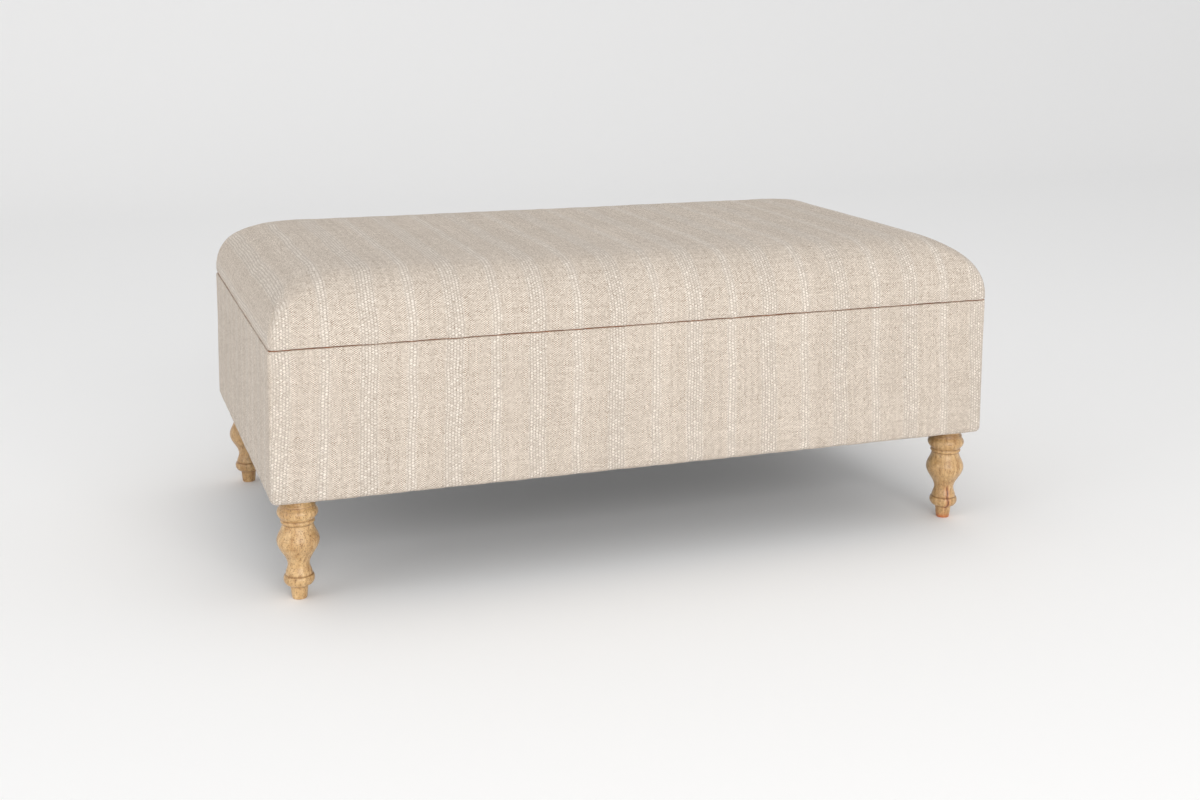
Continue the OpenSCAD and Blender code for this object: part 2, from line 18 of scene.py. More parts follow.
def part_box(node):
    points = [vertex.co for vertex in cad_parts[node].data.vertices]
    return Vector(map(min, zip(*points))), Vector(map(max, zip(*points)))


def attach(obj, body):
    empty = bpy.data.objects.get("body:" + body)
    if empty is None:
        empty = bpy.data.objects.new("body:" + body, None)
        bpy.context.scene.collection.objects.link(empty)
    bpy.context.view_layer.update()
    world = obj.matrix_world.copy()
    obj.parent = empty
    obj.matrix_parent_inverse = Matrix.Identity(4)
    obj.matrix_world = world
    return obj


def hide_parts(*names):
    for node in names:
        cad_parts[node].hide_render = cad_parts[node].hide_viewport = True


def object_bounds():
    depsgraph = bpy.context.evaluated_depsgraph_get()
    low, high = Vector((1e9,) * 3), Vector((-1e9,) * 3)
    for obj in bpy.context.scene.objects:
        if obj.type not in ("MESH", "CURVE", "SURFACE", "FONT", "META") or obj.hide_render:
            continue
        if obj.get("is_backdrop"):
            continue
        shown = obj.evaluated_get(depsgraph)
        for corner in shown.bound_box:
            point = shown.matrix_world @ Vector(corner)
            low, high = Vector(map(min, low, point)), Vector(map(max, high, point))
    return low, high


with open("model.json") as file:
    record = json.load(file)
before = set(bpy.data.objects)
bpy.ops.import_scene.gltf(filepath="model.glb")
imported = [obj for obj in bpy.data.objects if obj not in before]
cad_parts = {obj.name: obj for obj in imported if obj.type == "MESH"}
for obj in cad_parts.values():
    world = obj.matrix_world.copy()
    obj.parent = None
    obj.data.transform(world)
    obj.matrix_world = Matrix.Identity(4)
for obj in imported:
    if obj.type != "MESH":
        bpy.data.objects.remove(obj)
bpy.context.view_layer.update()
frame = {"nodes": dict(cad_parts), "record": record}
MM = 0.001

# ---- places read from the frame ----

LID_LOW, LID_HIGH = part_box("lid_cover")
BOX_LOW, BOX_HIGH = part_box("box_cover")
LINING_LOW, LINING_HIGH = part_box("box_lining")
LID_LINING_LOW, LID_LINING_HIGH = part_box("lid_lining")
DUST_LOW, DUST_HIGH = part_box("dust_cover")
BOARD_TOP_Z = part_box("lid_board")[1].z
LEG_AXES = {}
for name in ("leg_front_left", "leg_front_right", "leg_back_left", "leg_back_right"):
    low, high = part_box(name)
    LEG_AXES[name] = ((low.x + high.x) / 2, (low.y + high.y) / 2)

LID_HALF_X = LID_HIGH.x - 2.5 * MM
LID_Y0, LID_Y1 = LID_LOW.y, LID_HIGH.y
LID_FOOT_Z, LID_TOP_Z = LID_LOW.z, LID_HIGH.z
BOX_FOOT_Z, BOX_TOP_Z = BOX_LOW.z, BOX_HIGH.z

# ---- upholstery sizes ----

LID_EDGE_R = 80 * MM  # soft edge round the lid's top
LID_DROP = 3 * MM  # the cover starts this far below the lid's top, and its filling lifts it
LID_FOOT_R = 2.6 * MM  # edge where the lid's cover turns under
LID_SAG = 1.0 * MM  # the turned edge hangs this far below the lid's flat underside
COVER_RISE = 4.5 * MM  # the most that the filling lifts the cover
SEAM_WAVE = 0.6 * MM
RIM_LIP = 0.6 * MM  # the folded rim of the box stands this far up to meet the lid
BOX_RIM_R = 2.2 * MM
BOX_FOOT_R = 9 * MM
CORNER_R = 9 * MM
BACK_EDGE_R = 8 * MM  # edges at the back that leave room for the hinge knuckles
HEM_W = 36 * MM
FLARE = 1.6 * MM  # how far the box cover leans out towards its foot
STRIPE_LIFT = 0.35 * MM  # a stripe's thick yarn stands this far out of the ground weave
LEG_HOLE_R = 24.2 * MM  # holes for the legs in the dust cover
SIM_FRAMES = 20

# ---- weave sizes ----

STRIPE_PITCH = 59 * MM
WIDE_HALF = 13.0 * MM
NARROW_HALF = 7.0 * MM


# ---- shader helpers ----


class Value:
    """A shader number. Arithmetic on it adds Math nodes."""

    def __init__(self, graph, socket):
        self.graph, self.socket = graph, socket

    def __add__(self, other):
        return self.graph.math("ADD", self, other)

    def __sub__(self, other):
        return self.graph.math("SUBTRACT", self, other)

    def __rsub__(self, other):
        return self.graph.math("SUBTRACT", other, self)

    def __mul__(self, other):
        return self.graph.math("MULTIPLY", self, other)

    def __truediv__(self, other):
        return self.graph.math("DIVIDE", self, other)

    __radd__, __rmul__ = __add__, __mul__


class Graph:
    """A material and short calls that add nodes to it."""

    def __init__(self, name):
        self.material = bpy.data.materials.new(name)
        self.material.use_nodes = True
        self.tree = self.material.node_tree
        self.tree.nodes.clear()

    def node(self, kind, inputs=None, **settings):
        made = self.tree.nodes.new(kind)
        for key, value in settings.items():
            setattr(made, key, value)
        for key, value in (inputs or {}).items():
            self.feed(made.inputs[key], value)
        return made

    def feed(self, socket, value):
        if isinstance(value, Value):
            self.tree.links.new(value.socket, socket)
        elif isinstance(value, bpy.types.NodeSocket):
            self.tree.links.new(value, socket)
        else:
            socket.default_value = value

    def number(self, kind, inputs=None, output=0, **settings):
        """The number that a new node puts out."""
        return Value(self, self.node(kind, inputs, **settings).outputs[output])

    def math(self, operation, *values, clamp=False):
        inputs = dict(enumerate(values))
        return self.number("ShaderNodeMath", inputs, operation=operation, use_clamp=clamp)

    def step(self, value, low, high):
        """Smooth 0 to 1 as value goes from low to high."""
        inputs = {0: value, 1: low, 2: high}
        return self.number("ShaderNodeMapRange", inputs, interpolation_type="SMOOTHSTEP")

    def remap(self, value, low, high, to_low, to_high):
        inputs = {0: value, 1: low, 2: high, 3: to_low, 4: to_high}
        return self.number("ShaderNodeMapRange", inputs)

    def wave(self, value):
        """0 to 1 to 0 once for each whole number, highest on the number."""
        return self.math("COSINE", value * math.tau) * 0.5 + 0.5

    def floor(self, value):
        return self.math("FLOOR", value)

    def odd(self, value):
        """1 on odd whole numbers, 0 on even ones."""
        return self.math("ABSOLUTE", self.math("MODULO", value, 2.0))

    def pick(self, low, high, share):
        return low + (high - low) * share

    def vector(self, x=0.0, y=0.0, z=0.0):
        return self.node("ShaderNodeCombineXYZ", {0: x, 1: y, 2: z}).outputs[0]

    def split(self, vector):
        made = self.node("ShaderNodeSeparateXYZ", {0: vector})
        return [Value(self, socket) for socket in made.outputs]

    def noise(self, vector, scale=1.0, detail=2.0, roughness=0.5):
        inputs = {"Vector": vector, "Scale": scale, "Detail": detail, "Roughness": roughness}
        return self.number("ShaderNodeTexNoise", inputs, "Fac")

    def grain(self, x, y, z=0.0, detail=2, roughness=0.5):
        """Noise at three numbers that are already scaled."""
        return self.noise(self.vector(x, y, z), 1.0, detail, roughness)

    def sway(self, reach, x, y, z=0.0, detail=2):
        """Noise that swings about zero."""
        return (self.grain(x, y, z, detail) - 0.5) * reach

    def attribute(self, name):
        return self.number("ShaderNodeAttribute", output="Fac", attribute_name=name)

    def chance(self, x, y=0.0):
        """A random number from 0 to 1 for each pair of whole numbers."""
        return self.number("ShaderNodeTexWhiteNoise", {"Vector": self.vector(x, y)}, "Value")

    def place(self):
        """The point in the model's own frame."""
        return self.node("ShaderNodeTexCoord").outputs["Object"]

    def place_mm(self):
        return [value / MM for value in self.split(self.place())]

    def mix(self, first, second, share, blend="MIX"):
        made = self.node("ShaderNodeMix", data_type="RGBA", blend_type=blend)
        self.feed(made.inputs[0], share)
        self.feed(made.inputs[6], colour(first))
        self.feed(made.inputs[7], colour(second))
        return made.outputs[2]

    def grey(self, value):
        return self.node("ShaderNodeCombineColor", {0: value, 1: value, 2: value}).outputs[0]

    def bump(self, height, distance):
        inputs = {"Height": height, "Distance": distance, "Strength": 1.0}
        return self.node("ShaderNodeBump", inputs).outputs[0]

    def finish(self, **inputs):
        """A Principled shader with these inputs, joined to the output."""
        shader = self.node("ShaderNodeBsdfPrincipled")
        for key, value in inputs.items():
            self.feed(shader.inputs[key.replace("_", " ")], colour(value))
        output = self.node("ShaderNodeOutputMaterial")
        self.tree.links.new(shader.outputs[0], output.inputs[0])
        return self.material


def colour(value):
    """Adds the alpha that a colour socket wants."""
    if isinstance(value, tuple) and len(value) == 3:
        return (*value, 1.0)
    return value


def srgb(red, green, blue):
    """A colour picked on a 0 to 255 scale, as linear light."""
    def linear(c):
        c /= 255
        return c / 12.92 if c <= 0.04045 else ((c + 0.055) / 1.055) ** 2.4
    return tuple(linear(c) for c in (red, green, blue))


# ---- materials ----


def striped_weave(name, dark, light, stripe_light):
    """Hand-loomed plain weave with thick basket-weave stripes, in the cloth's own coordinates.

    The UV map "cloth" holds metres of fabric: U across the stripes and V along them.
    """
    g = Graph(name)
    cloth = g.node("ShaderNodeUVMap", uv_map="cloth").outputs[0]
    u, v, _ = g.split(cloth)
    u, v = u / MM, v / MM
    u = u + g.sway(11.0, u * 0.006, v * 0.009, 6.0)

    # yarns wander and thicken a little, so that no row is ruler straight
    drift_u = g.sway(2.0, u * 0.03, v * 0.02, detail=3)
    drift_v = g.sway(2.0, u * 0.02, v * 0.03, 7.0, 3)
    jitter_u = g.sway(1.5, u * 0.28, v * 0.28, 2.0, 1)
    jitter_v = g.sway(1.5, u * 0.28, v * 0.28, 4.0, 1)
    u_yarn, v_yarn = u + drift_u + jitter_u * 0.15, v + drift_v + jitter_v * 0.15

    # ground: plain weave, each crossing with its own shade and slubs along each yarn
    warp_pitch, weft_pitch = 2.1, 1.4
    warp, weft = g.floor(u_yarn / warp_pitch), g.floor(v_yarn / weft_pitch)
    warp_slub = g.grain(warp * 3.7, v_yarn * 0.09)
    weft_slub = g.grain(u_yarn * 0.09, weft * 3.7, 3.0)
    crossing = g.chance(warp, weft)
    warp_on_top = g.odd(warp + weft)
    slub = g.pick(weft_slub, warp_slub, warp_on_top)
    yarn = g.pick(g.chance(weft, 23.0), g.chance(warp, 11.0), warp_on_top)
    shade = warp_on_top * 0.5 + crossing * 0.3 + slub * 0.16 + yarn * 0.16 - 0.12
    across = g.wave(u_yarn / warp_pitch + 0.5)
    along = g.wave(v_yarn / weft_pitch + 0.5)
    cell = g.math("POWER", across * along, 0.6)
    ground_height = cell * g.remap(crossing, 0.0, 1.0, 0.45, 1.2)

    # stripes: every other one is wide, and each is a few columns of thick yarn
    stripe_pitch, row_pitch, fleck_size = STRIPE_PITCH / MM, 4.4, 1.5
    place = u / stripe_pitch
    number = g.floor(place + 0.5)
    wide = g.odd(number)
    offset = (place - number) * stripe_pitch
    half = g.pick(NARROW_HALF / MM, WIDE_HALF / MM, wide)
    distance = g.math("ABSOLUTE", offset) + g.sway(5.0, u * 0.09, v * 0.3, 5.0)
    stripe = 1.0 - g.step(distance, half - 1.6, half + 1.6)

    column_pitch = g.pick(4.8, 4.3, wide)
    column_place = (offset + jitter_u * 2.0) / column_pitch + g.pick(0.5, 0.0, wide)
    column = g.floor(column_place + 0.5)
    row_place = (v_yarn + jitter_v * 2.0) / row_pitch + g.odd(column) * 0.5
    row = g.floor(row_place + 0.5)
    knot = g.step(g.wave(column_place) * g.wave(row_place), 0.0, 0.34)
    knot_height = knot * g.remap(g.chance(column + number * 31.0, row), 0.0, 1.0, 0.4, 1.2)

    # colour
    fleck = g.chance(g.floor(u_yarn / fleck_size), g.floor(v_yarn / fleck_size))
    flecks = g.step(fleck, 0.985, 0.99)
    cloudy = g.grain(u * 0.006, v * 0.006, detail=4)
    streaks = g.grain(u * 0.22, v * 0.015, 9.0, 3)
    ground = g.mix(dark, light, g.math("MULTIPLY", shade, 1.1, clamp=True))
    stripe_shade = shade * 0.5 + g.pick(0.16, 0.125, wide)
    knotted = g.math("ADD", knot_height * 0.4, stripe_shade, clamp=True)
    lattice = g.mix(dark, stripe_light, knotted)
    body = g.mix(ground, lattice, stripe)
    body = g.mix(body, srgb(120, 98, 74), flecks * 0.5)
    tone = g.remap(cloudy * 0.6 + streaks * 0.4, 0.3, 0.7, 0.96, 1.04)
    body = g.mix(body, g.grey(tone), 1.0, "MULTIPLY")

    height = g.pick(ground_height * 0.55, 0.3 + knot_height * 0.9 + ground_height * 0.2, stripe)
    return g.finish(
        Base_Color=body,
        Roughness=g.remap(shade, 0.2, 0.8, 0.95, 0.84),
        Normal=g.bump(height, 0.4 * MM),
        Specular_IOR_Level=0.2,
        Sheen_Weight=0.06,
        Sheen_Roughness=0.5,
    )


def plain_cloth(name, dark, light, pitch, depth):
    """Plain woven cloth in the model's frame, for linings that are seen from inside."""
    g = Graph(name)
    x, y, z = g.place_mm()
    weave = g.wave((x + y) / pitch) * g.wave((z + y) / pitch)
    shade = g.grain(x * 0.3, y * 0.3, z * 0.3, 4)
    lengthwise = g.grain(x * 0.05, y * 1.1, z * 1.1)
    crosswise = g.grain(x * 1.1, y * 0.05, z * 0.05)
    mixed = g.step(shade * 0.3 + lengthwise * 0.35 + crosswise * 0.35, 0.3, 0.7)
    return g.finish(
        Base_Color=g.mix(dark, light, mixed),
        Roughness=g.remap(shade, 0.2, 0.8, 0.95, 0.85),
        Normal=g.bump(weave + shade * 0.5, depth),
        Specular_IOR_Level=0.2,
        Sheen_Weight=0.15,
    )


def felted(name, dark, light, cell):
    """Matted fibre: non-woven dust cloth or wadding."""
    g = Graph(name)
    place = g.place()
    fibres = g.noise(place, 1 / cell, 6, 0.7)
    clumps = g.noise(place, 0.2 / cell, 2)
    return g.finish(
        Base_Color=g.mix(dark, light, g.step(fibres * 0.6 + clumps * 0.4, 0.3, 0.7)),
        Roughness=g.remap(fibres, 0.3, 0.7, 0.98, 0.85),
        Normal=g.bump(fibres, cell * 0.3),
        Specular_IOR_Level=0.15,
        Sheen_Weight=0.1,
    )


def open_foam(name):
    g = Graph(name)
    place = g.place()
    cells = g.number("ShaderNodeTexVoronoi", {"Vector": place, "Scale": 900.0}, "Distance")
    body = g.mix(srgb(206, 193, 142), srgb(232, 224, 186), g.noise(place, 9.0, 3))
    return g.finish(
        # painted shade: the colour darkens in the cell pits that the bump cuts
        Base_Color=g.mix(body, g.grey(g.remap(cells, 0.0, 0.6, 0.75, 1.05)), 1.0, "MULTIPLY"),
        Roughness=g.remap(cells, 0.0, 0.6, 0.95, 0.85),
        Normal=g.bump(cells, 0.5 * MM),
        Specular_IOR_Level=0.1,
    )


def wood(
    name, pale, deep, pore, along="Z", ring_mm=5.0, gloss=0.45, fleck=0.7, coat=0.0, marked=False
):
    """Solid timber: soft growth bands, fine fibre, short dark pores and a satin finish.

    A marked one also reads the mesh's own crack, red and tone, and the painted shade in its
    grooves.
    """
    g = Graph(name)
    x, y, z = g.place_mm()
    if along == "X":
        x, y, z = y, z, x
    bend = g.sway(14.0, x * 0.02, y * 0.02, z * 0.008, 3)
    bands = g.wave((x * 0.93 + y * 0.37 + bend) / ring_mm)
    figure = g.grain(x * 0.09, y * 0.09, z * 0.02, 4)
    mottle = g.grain(x * 0.3, y * 0.3, z * 0.12, 3)
    fibre = g.grain(x * 2.2, y * 2.2, z * 0.09, 3)
    pores = g.grain(x * 0.95, y * 0.95, z * 0.42, 2, 0.55)
    pores = g.step(pores, 0.5, 0.64) * g.remap(mottle, 0.35, 0.65, 0.25, 1.0)
    broad, fine = bands * 0.16 + figure * 0.9, fibre * 0.7 + mottle * 0.7 - 0.72
    body = g.mix(pale, deep, g.math("ADD", broad, fine, clamp=True))
    body = g.mix(body, pore, pores * fleck)
    height = fibre * 0.3 - pores * 0.8
    if marked:
        # tone: the leg's own stain, and painted shade towards the top under the box
        body = g.mix(body, (0.62, 0.50, 0.42), g.attribute("tone"), "MULTIPLY")
        body = g.mix(body, srgb(196, 104, 52), g.attribute("red"))
        # painted shade in the leg's grooves
        body = g.mix(body, srgb(112, 66, 26), g.attribute("groove_shade"))
        body = g.mix(body, srgb(58, 30, 14), g.attribute("crack"))
    return g.finish(
        Base_Color=body,
        Roughness=g.remap(fibre + pores, 0.3, 1.2, gloss - 0.07, gloss + 0.2),
        Normal=g.bump(height, 0.12 * MM),
        Specular_IOR_Level=0.5,
        Coat_Weight=coat,
        Coat_Roughness=0.28,
    )


def metal(name, tint, roughness, scratch=0.25, grime=0.12):
    """Plated or bare steel with fine brushed lines and a little grime."""
    g = Graph(name)
    place = g.place()
    x, y, z = g.split(place)
    brushed = g.grain(x * 300.0, y * 4000.0, z * 4000.0)
    patchy = g.noise(place, 120.0, 4)
    dull = g.step(patchy, 0.45, 0.75)
    worn = brushed * scratch + patchy * 0.5
    return g.finish(
        Base_Color=g.mix(tint, tuple(c * 0.55 for c in tint), dull * grime * 3),
        Metallic=1.0,
        Roughness=g.remap(worn, 0.0, 0.75, roughness - 0.1, roughness + 0.15),
        Normal=g.bump(brushed, 0.02 * MM),
    )


def moulded(name, tint, roughness):
    """Paint, rubber or plastic with a faint orange-peel surface."""
    g = Graph(name)
    place = g.place()
    dust = g.noise(place, 60.0, 4)
    dusty = tuple(min(1.0, c * 1.6 + 0.01) for c in tint)
    return g.finish(
        Base_Color=g.mix(tint, dusty, g.step(dust, 0.45, 0.8)),
        Roughness=g.remap(dust, 0.3, 0.7, roughness - 0.06, roughness + 0.1),
        Normal=g.bump(g.noise(place, 1500.0), 0.04 * MM),
        Specular_IOR_Level=0.5,
    )


MATERIALS = {
    "cover_fabric": striped_weave(
        "oatmeal_striped_weave", srgb(138, 121, 104), srgb(248, 237, 224), srgb(249, 240, 229)
    ),
    "lining_fabric": plain_cloth(
        "cotton_lining", srgb(142, 126, 104), srgb(180, 164, 142), 1.1, 0.12 * MM
    ),
    "dust_fabric": felted("black_dust_cloth", srgb(22, 22, 23), srgb(46, 46, 47), 0.6 * MM),
    "wadding": felted("polyester_wadding", srgb(214, 214, 210), srgb(245, 245, 242), 1.6 * MM),
    "foam": open_foam("seat_foam"),
    "carcass_board": wood(
        "birch_board", srgb(205, 172, 128), srgb(168, 128, 84), srgb(110, 76, 44), "X", 9.0, 0.62
    ),
    "block_wood": wood(
        "pine_block", srgb(214, 178, 128), srgb(176, 130, 82), srgb(120, 84, 50), "X", 7.0, 0.65
    ),
    "rim_wood": wood(
        "stained_rim_strip", srgb(186, 112, 48), srgb(104, 58, 24), srgb(50, 26, 12), "X", 4.0, 0.5
    ),
    "leg_wood": wood(
        "honey_leg_wood", srgb(240, 206, 152), srgb(170, 122, 66), srgb(100, 64, 30),
        "Z", 7.0, 0.36, 0.8, 0.3, marked=True,
    ),
    "zinc_steel": metal("zinc_plated_steel", srgb(190, 192, 192), 0.36),
    "hinge_steel": metal("brassed_hinge_steel", srgb(196, 164, 98), 0.34),
    "clip_steel": metal("blued_spring_steel", srgb(84, 86, 92), 0.38),
    "strut_paint": moulded("strut_black_paint", srgb(24, 24, 25), 0.32),
    "strut_chrome": metal("strut_chrome", srgb(214, 216, 220), 0.16, 0.1, 0.04),
    "strut_plastic": moulded("strut_black_nylon", srgb(34, 34, 35), 0.5),
    "bumper_rubber": moulded("bumper_rubber", srgb(52, 42, 36), 0.7),
}


def dress_frame():
    """Gives every carried-over CAD node its procedural material."""
    slots = {part["node"]: part["material_slot"] for part in frame["record"]["subparts"]}
    for name, node in frame["nodes"].items():
        for slot in node.material_slots:
            slot.material = MATERIALS[slots[name]]


# ---- mesh helpers ----


def add(name, data, place=(0, 0, 0)):
    """A new object for a mesh, light or camera."""
    made = bpy.data.objects.new(name, data)
    bpy.context.scene.collection.objects.link(made)
    made.location = place
    return made


def new_mesh(name, points, faces):
    """A smooth-shaded mesh."""
    mesh = bpy.data.meshes.new(name)
    mesh.from_pydata([tuple(p) for p in points], [], [tuple(f) for f in faces])
    mesh.validate()
    mesh.polygons.foreach_set("use_smooth", [True] * len(mesh.polygons))
    return mesh


def carried(mesh, slot, body, replaced=(), place=(0, 0, 0), turn=0.0):
    """A piece for this mesh that rides on a body and stands for CAD nodes."""
    piece = add(mesh.name, mesh, place)
    piece.rotation_euler = (0, 0, turn)
    mesh.materials.append(MATERIALS[slot])
    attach(piece, body)
    if replaced:
        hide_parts(*replaced)
    return piece


def new_piece(name, points, faces, slot, body, replaced, uv=None):
    mesh = new_mesh(name, points, faces)
    if uv is not None:
        layer = mesh.uv_layers.new(name="cloth")
        layer.data.foreach_set("uv", np.asarray(uv, np.float32).ravel())
    return carried(mesh, slot, body, replaced)


class Counts:
    """How many segments go along the long sides, the short sides and round each corner."""

    def __init__(self, long, short, corner):
        self.long, self.short, self.corner = long, short, corner
        self.front = long + corner  # from the middle of one corner to the middle of the next
        self.end = short + corner
        self.round = 2 * (self.front + self.end)


def between(start, end, share):
    return start[0] + (end[0] - start[0]) * share, start[1] + (end[1] - start[1]) * share


def outline(half_x, y0, y1, radius, n):
    """Points round a rounded rectangle, anticlockwise from the middle of the front-left corner."""
    x, low, high = half_x - radius, y0 + radius, y1 - radius
    centres = ((-x, low, 180), (x, low, 270), (x, high, 0), (-x, high, 90))

    def on_arc(centre, degrees):
        a = math.radians(degrees)
        return centre[0] + radius * math.cos(a), centre[1] + radius * math.sin(a)

    points = []
    for k, this in enumerate(centres):
        after = centres[(k + 1) % 4]
        count = n.short if k % 2 else n.long
        start, end = on_arc(this, this[2] + 90), on_arc(after, after[2])
        turns = [90 * i / n.corner for i in range(n.corner // 2)]
        points += [on_arc(this, this[2] + 45 + turn) for turn in turns]
        points += [between(start, end, i / count) for i in range(count)]
        points += [on_arc(after, after[2] + turn) for turn in turns]
    return np.array(points)


def patch(loop, n):
    """Grid of points whose border is the loop: columns along X and rows along Y."""
    cols, rows = n.front, n.end
    front = loop[: cols + 1]
    right = loop[cols : cols + rows + 1]
    back = loop[cols + rows : 2 * cols + rows + 1][::-1]
    left = np.vstack([loop[2 * cols + rows :], loop[:1]])[::-1]
    s = np.linspace(0, 1, cols + 1)[None, :, None]
    t = np.linspace(0, 1, rows + 1)[:, None, None]
    edges = (1 - t) * front[None] + t * back[None] + (1 - s) * left[:, None] + s * right[:, None]
    corners = (1 - s) * (1 - t) * front[0] + s * (1 - t) * front[-1]
    return edges - (corners + (1 - s) * t * back[0] + s * t * back[-1])


def grid_faces(grid, base):
    """Points and faces of a patch, numbered from base."""
    rows, cols = grid.shape[0] - 1, grid.shape[1] - 1
    faces = []
    for r in range(rows):
        for c in range(cols):
            a = base + r * (cols + 1) + c
            faces.append((a, a + 1, a + cols + 2, a + cols + 1))
    return grid.reshape(-1, 3), faces


def grid_border(n, base):
    """The numbers of a patch's border points, in the order of the loop."""
    cols, rows = n.front, n.end
    cells = [(0, c) for c in range(cols)] + [(r, cols) for r in range(rows)]
    cells += [(rows, c) for c in range(cols, 0, -1)] + [(r, 0) for r in range(rows, 0, -1)]
    return [base + r * (cols + 1) + c for r, c in cells]


PATCH = 4


def loft(rings, n, top_patch=False):
    """Points and faces of a surface through the rings, with an optional patch inside the first.

    Returns points, faces, and for each face its kind: PATCH, or the side 0 to 3 that it is on.
    """
    count = n.round
    if top_patch:
        grid, faces = grid_faces(patch(rings[0], n), 0)
        points, previous = list(grid), grid_border(n, 0)
    else:
        points, faces, previous = list(rings[0]), [], list(range(count))
    kinds = [PATCH] * len(faces)
    side_of = [0] * n.front + [1] * n.end + [2] * n.front + [3] * n.end
    for ring in rings[1:]:
        base = len(points)
        points.extend(ring)
        current = list(range(base, base + count))
        for i in range(count):
            j = (i + 1) % count
            faces.append((previous[i], current[i], current[j], previous[j]))
            kinds.append(side_of[i])
        previous = current
    return np.array(points), faces, kinds


def closed(points, faces, ring, n, flip=False):
    """Fills the last ring of a loft with a patch."""
    base, new = len(points) - n.round, len(points)
    flat_points, flat_faces = grid_faces(patch(ring, n), new)
    border = {index: base + i for i, index in enumerate(grid_border(n, new))}
    order = -1 if flip else 1
    faces += [tuple(border.get(i, i) for i in face[::order]) for face in flat_faces]
    return np.vstack([points, flat_points]), faces


class Plan:
    """The outline that profiles are swept round: half width, front, back and segment counts.

    Its back is 1 at the points along the back, 0 elsewhere, changing over the back corners.
    """

    def __init__(self, half_x, y0, y1, n):
        self.half_x, self.y0, self.y1, self.n = half_x, y0, y1, n
        self.back = np.zeros((n.round, 1))
        right, left = n.front + n.end, 2 * n.front + n.end
        self.back[right:left] = 1.0
        for i in range(n.corner + 1):
            self.back[right + i - n.corner // 2] = i / n.corner
            self.back[left + i - n.corner // 2] = 1 - i / n.corner

    def level(self, inset, radius):
        """The outline moved in by inset."""
        return outline(self.half_x - inset, self.y0 + inset, self.y1 - inset, radius, self.n)

    def ring(self, front, back, radius):
        """Points round the outline; front and back are (inset, z) there."""
        there = self.level(back[0], radius) * self.back
        flat = self.level(front[0], radius) * (1 - self.back) + there
        z = front[1] * (1 - self.back) + back[1] * self.back
        return np.hstack([flat, z])


def arc(centre, radius, start, end, steps, skip_first=False):
    """(inset, z) points on an arc; angles in degrees, 0 towards the inside and 90 up."""
    angles = np.linspace(math.radians(start), math.radians(end), steps + 1)
    points = [(centre[0] + radius * math.cos(a), centre[1] + radius * math.sin(a)) for a in angles]
    return points[1:] if skip_first else points


def straight(start, end, steps):
    """(inset, z) points after start, up to end."""
    return [between(start, end, i / steps) for i in range(1, steps + 1)]


def run_length(profile):
    """Distance along a profile at each of its points."""
    steps = [math.dist(a, b) for a, b in zip(profile, profile[1:])]
    return np.concatenate([[0.0], np.cumsum(steps)])


def subdivided(piece):
    """One Catmull-Clark step, applied."""
    modifier = piece.modifiers.new("round", "SUBSURF")
    modifier.levels = modifier.render_levels = 1
    graph = bpy.context.evaluated_depsgraph_get()
    mesh = bpy.data.meshes.new_from_object(piece.evaluated_get(graph))
    piece.modifiers.clear()
    old, piece.data = piece.data, mesh
    bpy.data.meshes.remove(old)


def read(items, field, width, kind=np.float32):
    """One attribute of mesh items as an array, width numbers for each."""
    values = np.empty(len(items) * width, kind)
    items.foreach_get(field, values)
    return values.reshape(-1, width)


def coordinates(mesh):
    return read(mesh.vertices, "co", 3).astype(float)


def set_coordinates(mesh, co):
    mesh.vertices.foreach_set("co", np.asarray(co, np.float32).ravel())
    mesh.update()


def point_normals(mesh):
    return read(mesh.vertex_normals, "vector", 3).astype(float)


def smoothstep(value, low, high):
    t = np.clip((value - low) / (high - low), 0, 1)
    return t * t * (3 - 2 * t)


def stripe_lift(u):
    """0 to 1: how far the cloth at U is raised by a stripe."""
    number = np.floor(u / STRIPE_PITCH + 0.5)
    half = np.where(number % 2 == 1, WIDE_HALF, NARROW_HALF)
    return 1 - smoothstep(np.abs(u - number * STRIPE_PITCH), half - 1.5 * MM, half + 1.5 * MM)


def raise_stripes(mesh, waviness, seed):
    """Moves each point out along its normal by the stripe under it and a slow unevenness."""
    loops = read(mesh.loops, "vertex_index", 1, np.int32).ravel()
    u = read(mesh.uv_layers["cloth"].data, "uv", 2)[:, 0].astype(float)
    total = np.bincount(loops, stripe_lift(u), len(mesh.vertices))
    lift = total / np.maximum(np.bincount(loops, minlength=len(mesh.vertices)), 1)
    co = coordinates(mesh)
    slow = [
        noise.noise(Vector(p) * 7.0 + Vector((seed, 0, 0))) * 0.7
        + noise.noise(Vector(p) * 19.0 + Vector((0, seed, 0))) * 0.3
        for p in co
    ]
    move = lift * STRIPE_LIFT + np.array(slow) * waviness
    set_coordinates(mesh, co + point_normals(mesh) * move[:, None])


def evened(mesh, values, rounds):
    """Values of the vertices, each round averaged with those of their neighbours."""
    first, second = read(mesh.edges, "vertices", 2, np.int32).T
    count = len(mesh.vertices)
    shared = 1 + np.bincount(first, minlength=count) + np.bincount(second, minlength=count)
    for _ in range(rounds):
        total = values + np.bincount(first, values[second], count)
        values = (total + np.bincount(second, values[first], count)) / shared
    return values


def seam_wave(points):
    """-1 to 1: the hand-stapled edge is never dead straight; it hangs lowest mid-front."""
    s = (points[:, 0] + points[:, 1]) / MM
    ripple = 0.3 * np.sin(s / 21 + 1) + 0.22 * np.sin(s / 8.3 + 2) + 0.13 * np.sin(s / 3.9)
    return ripple - 0.35 * np.cos(points[:, 0] * math.pi / (2 * LID_HALF_X))


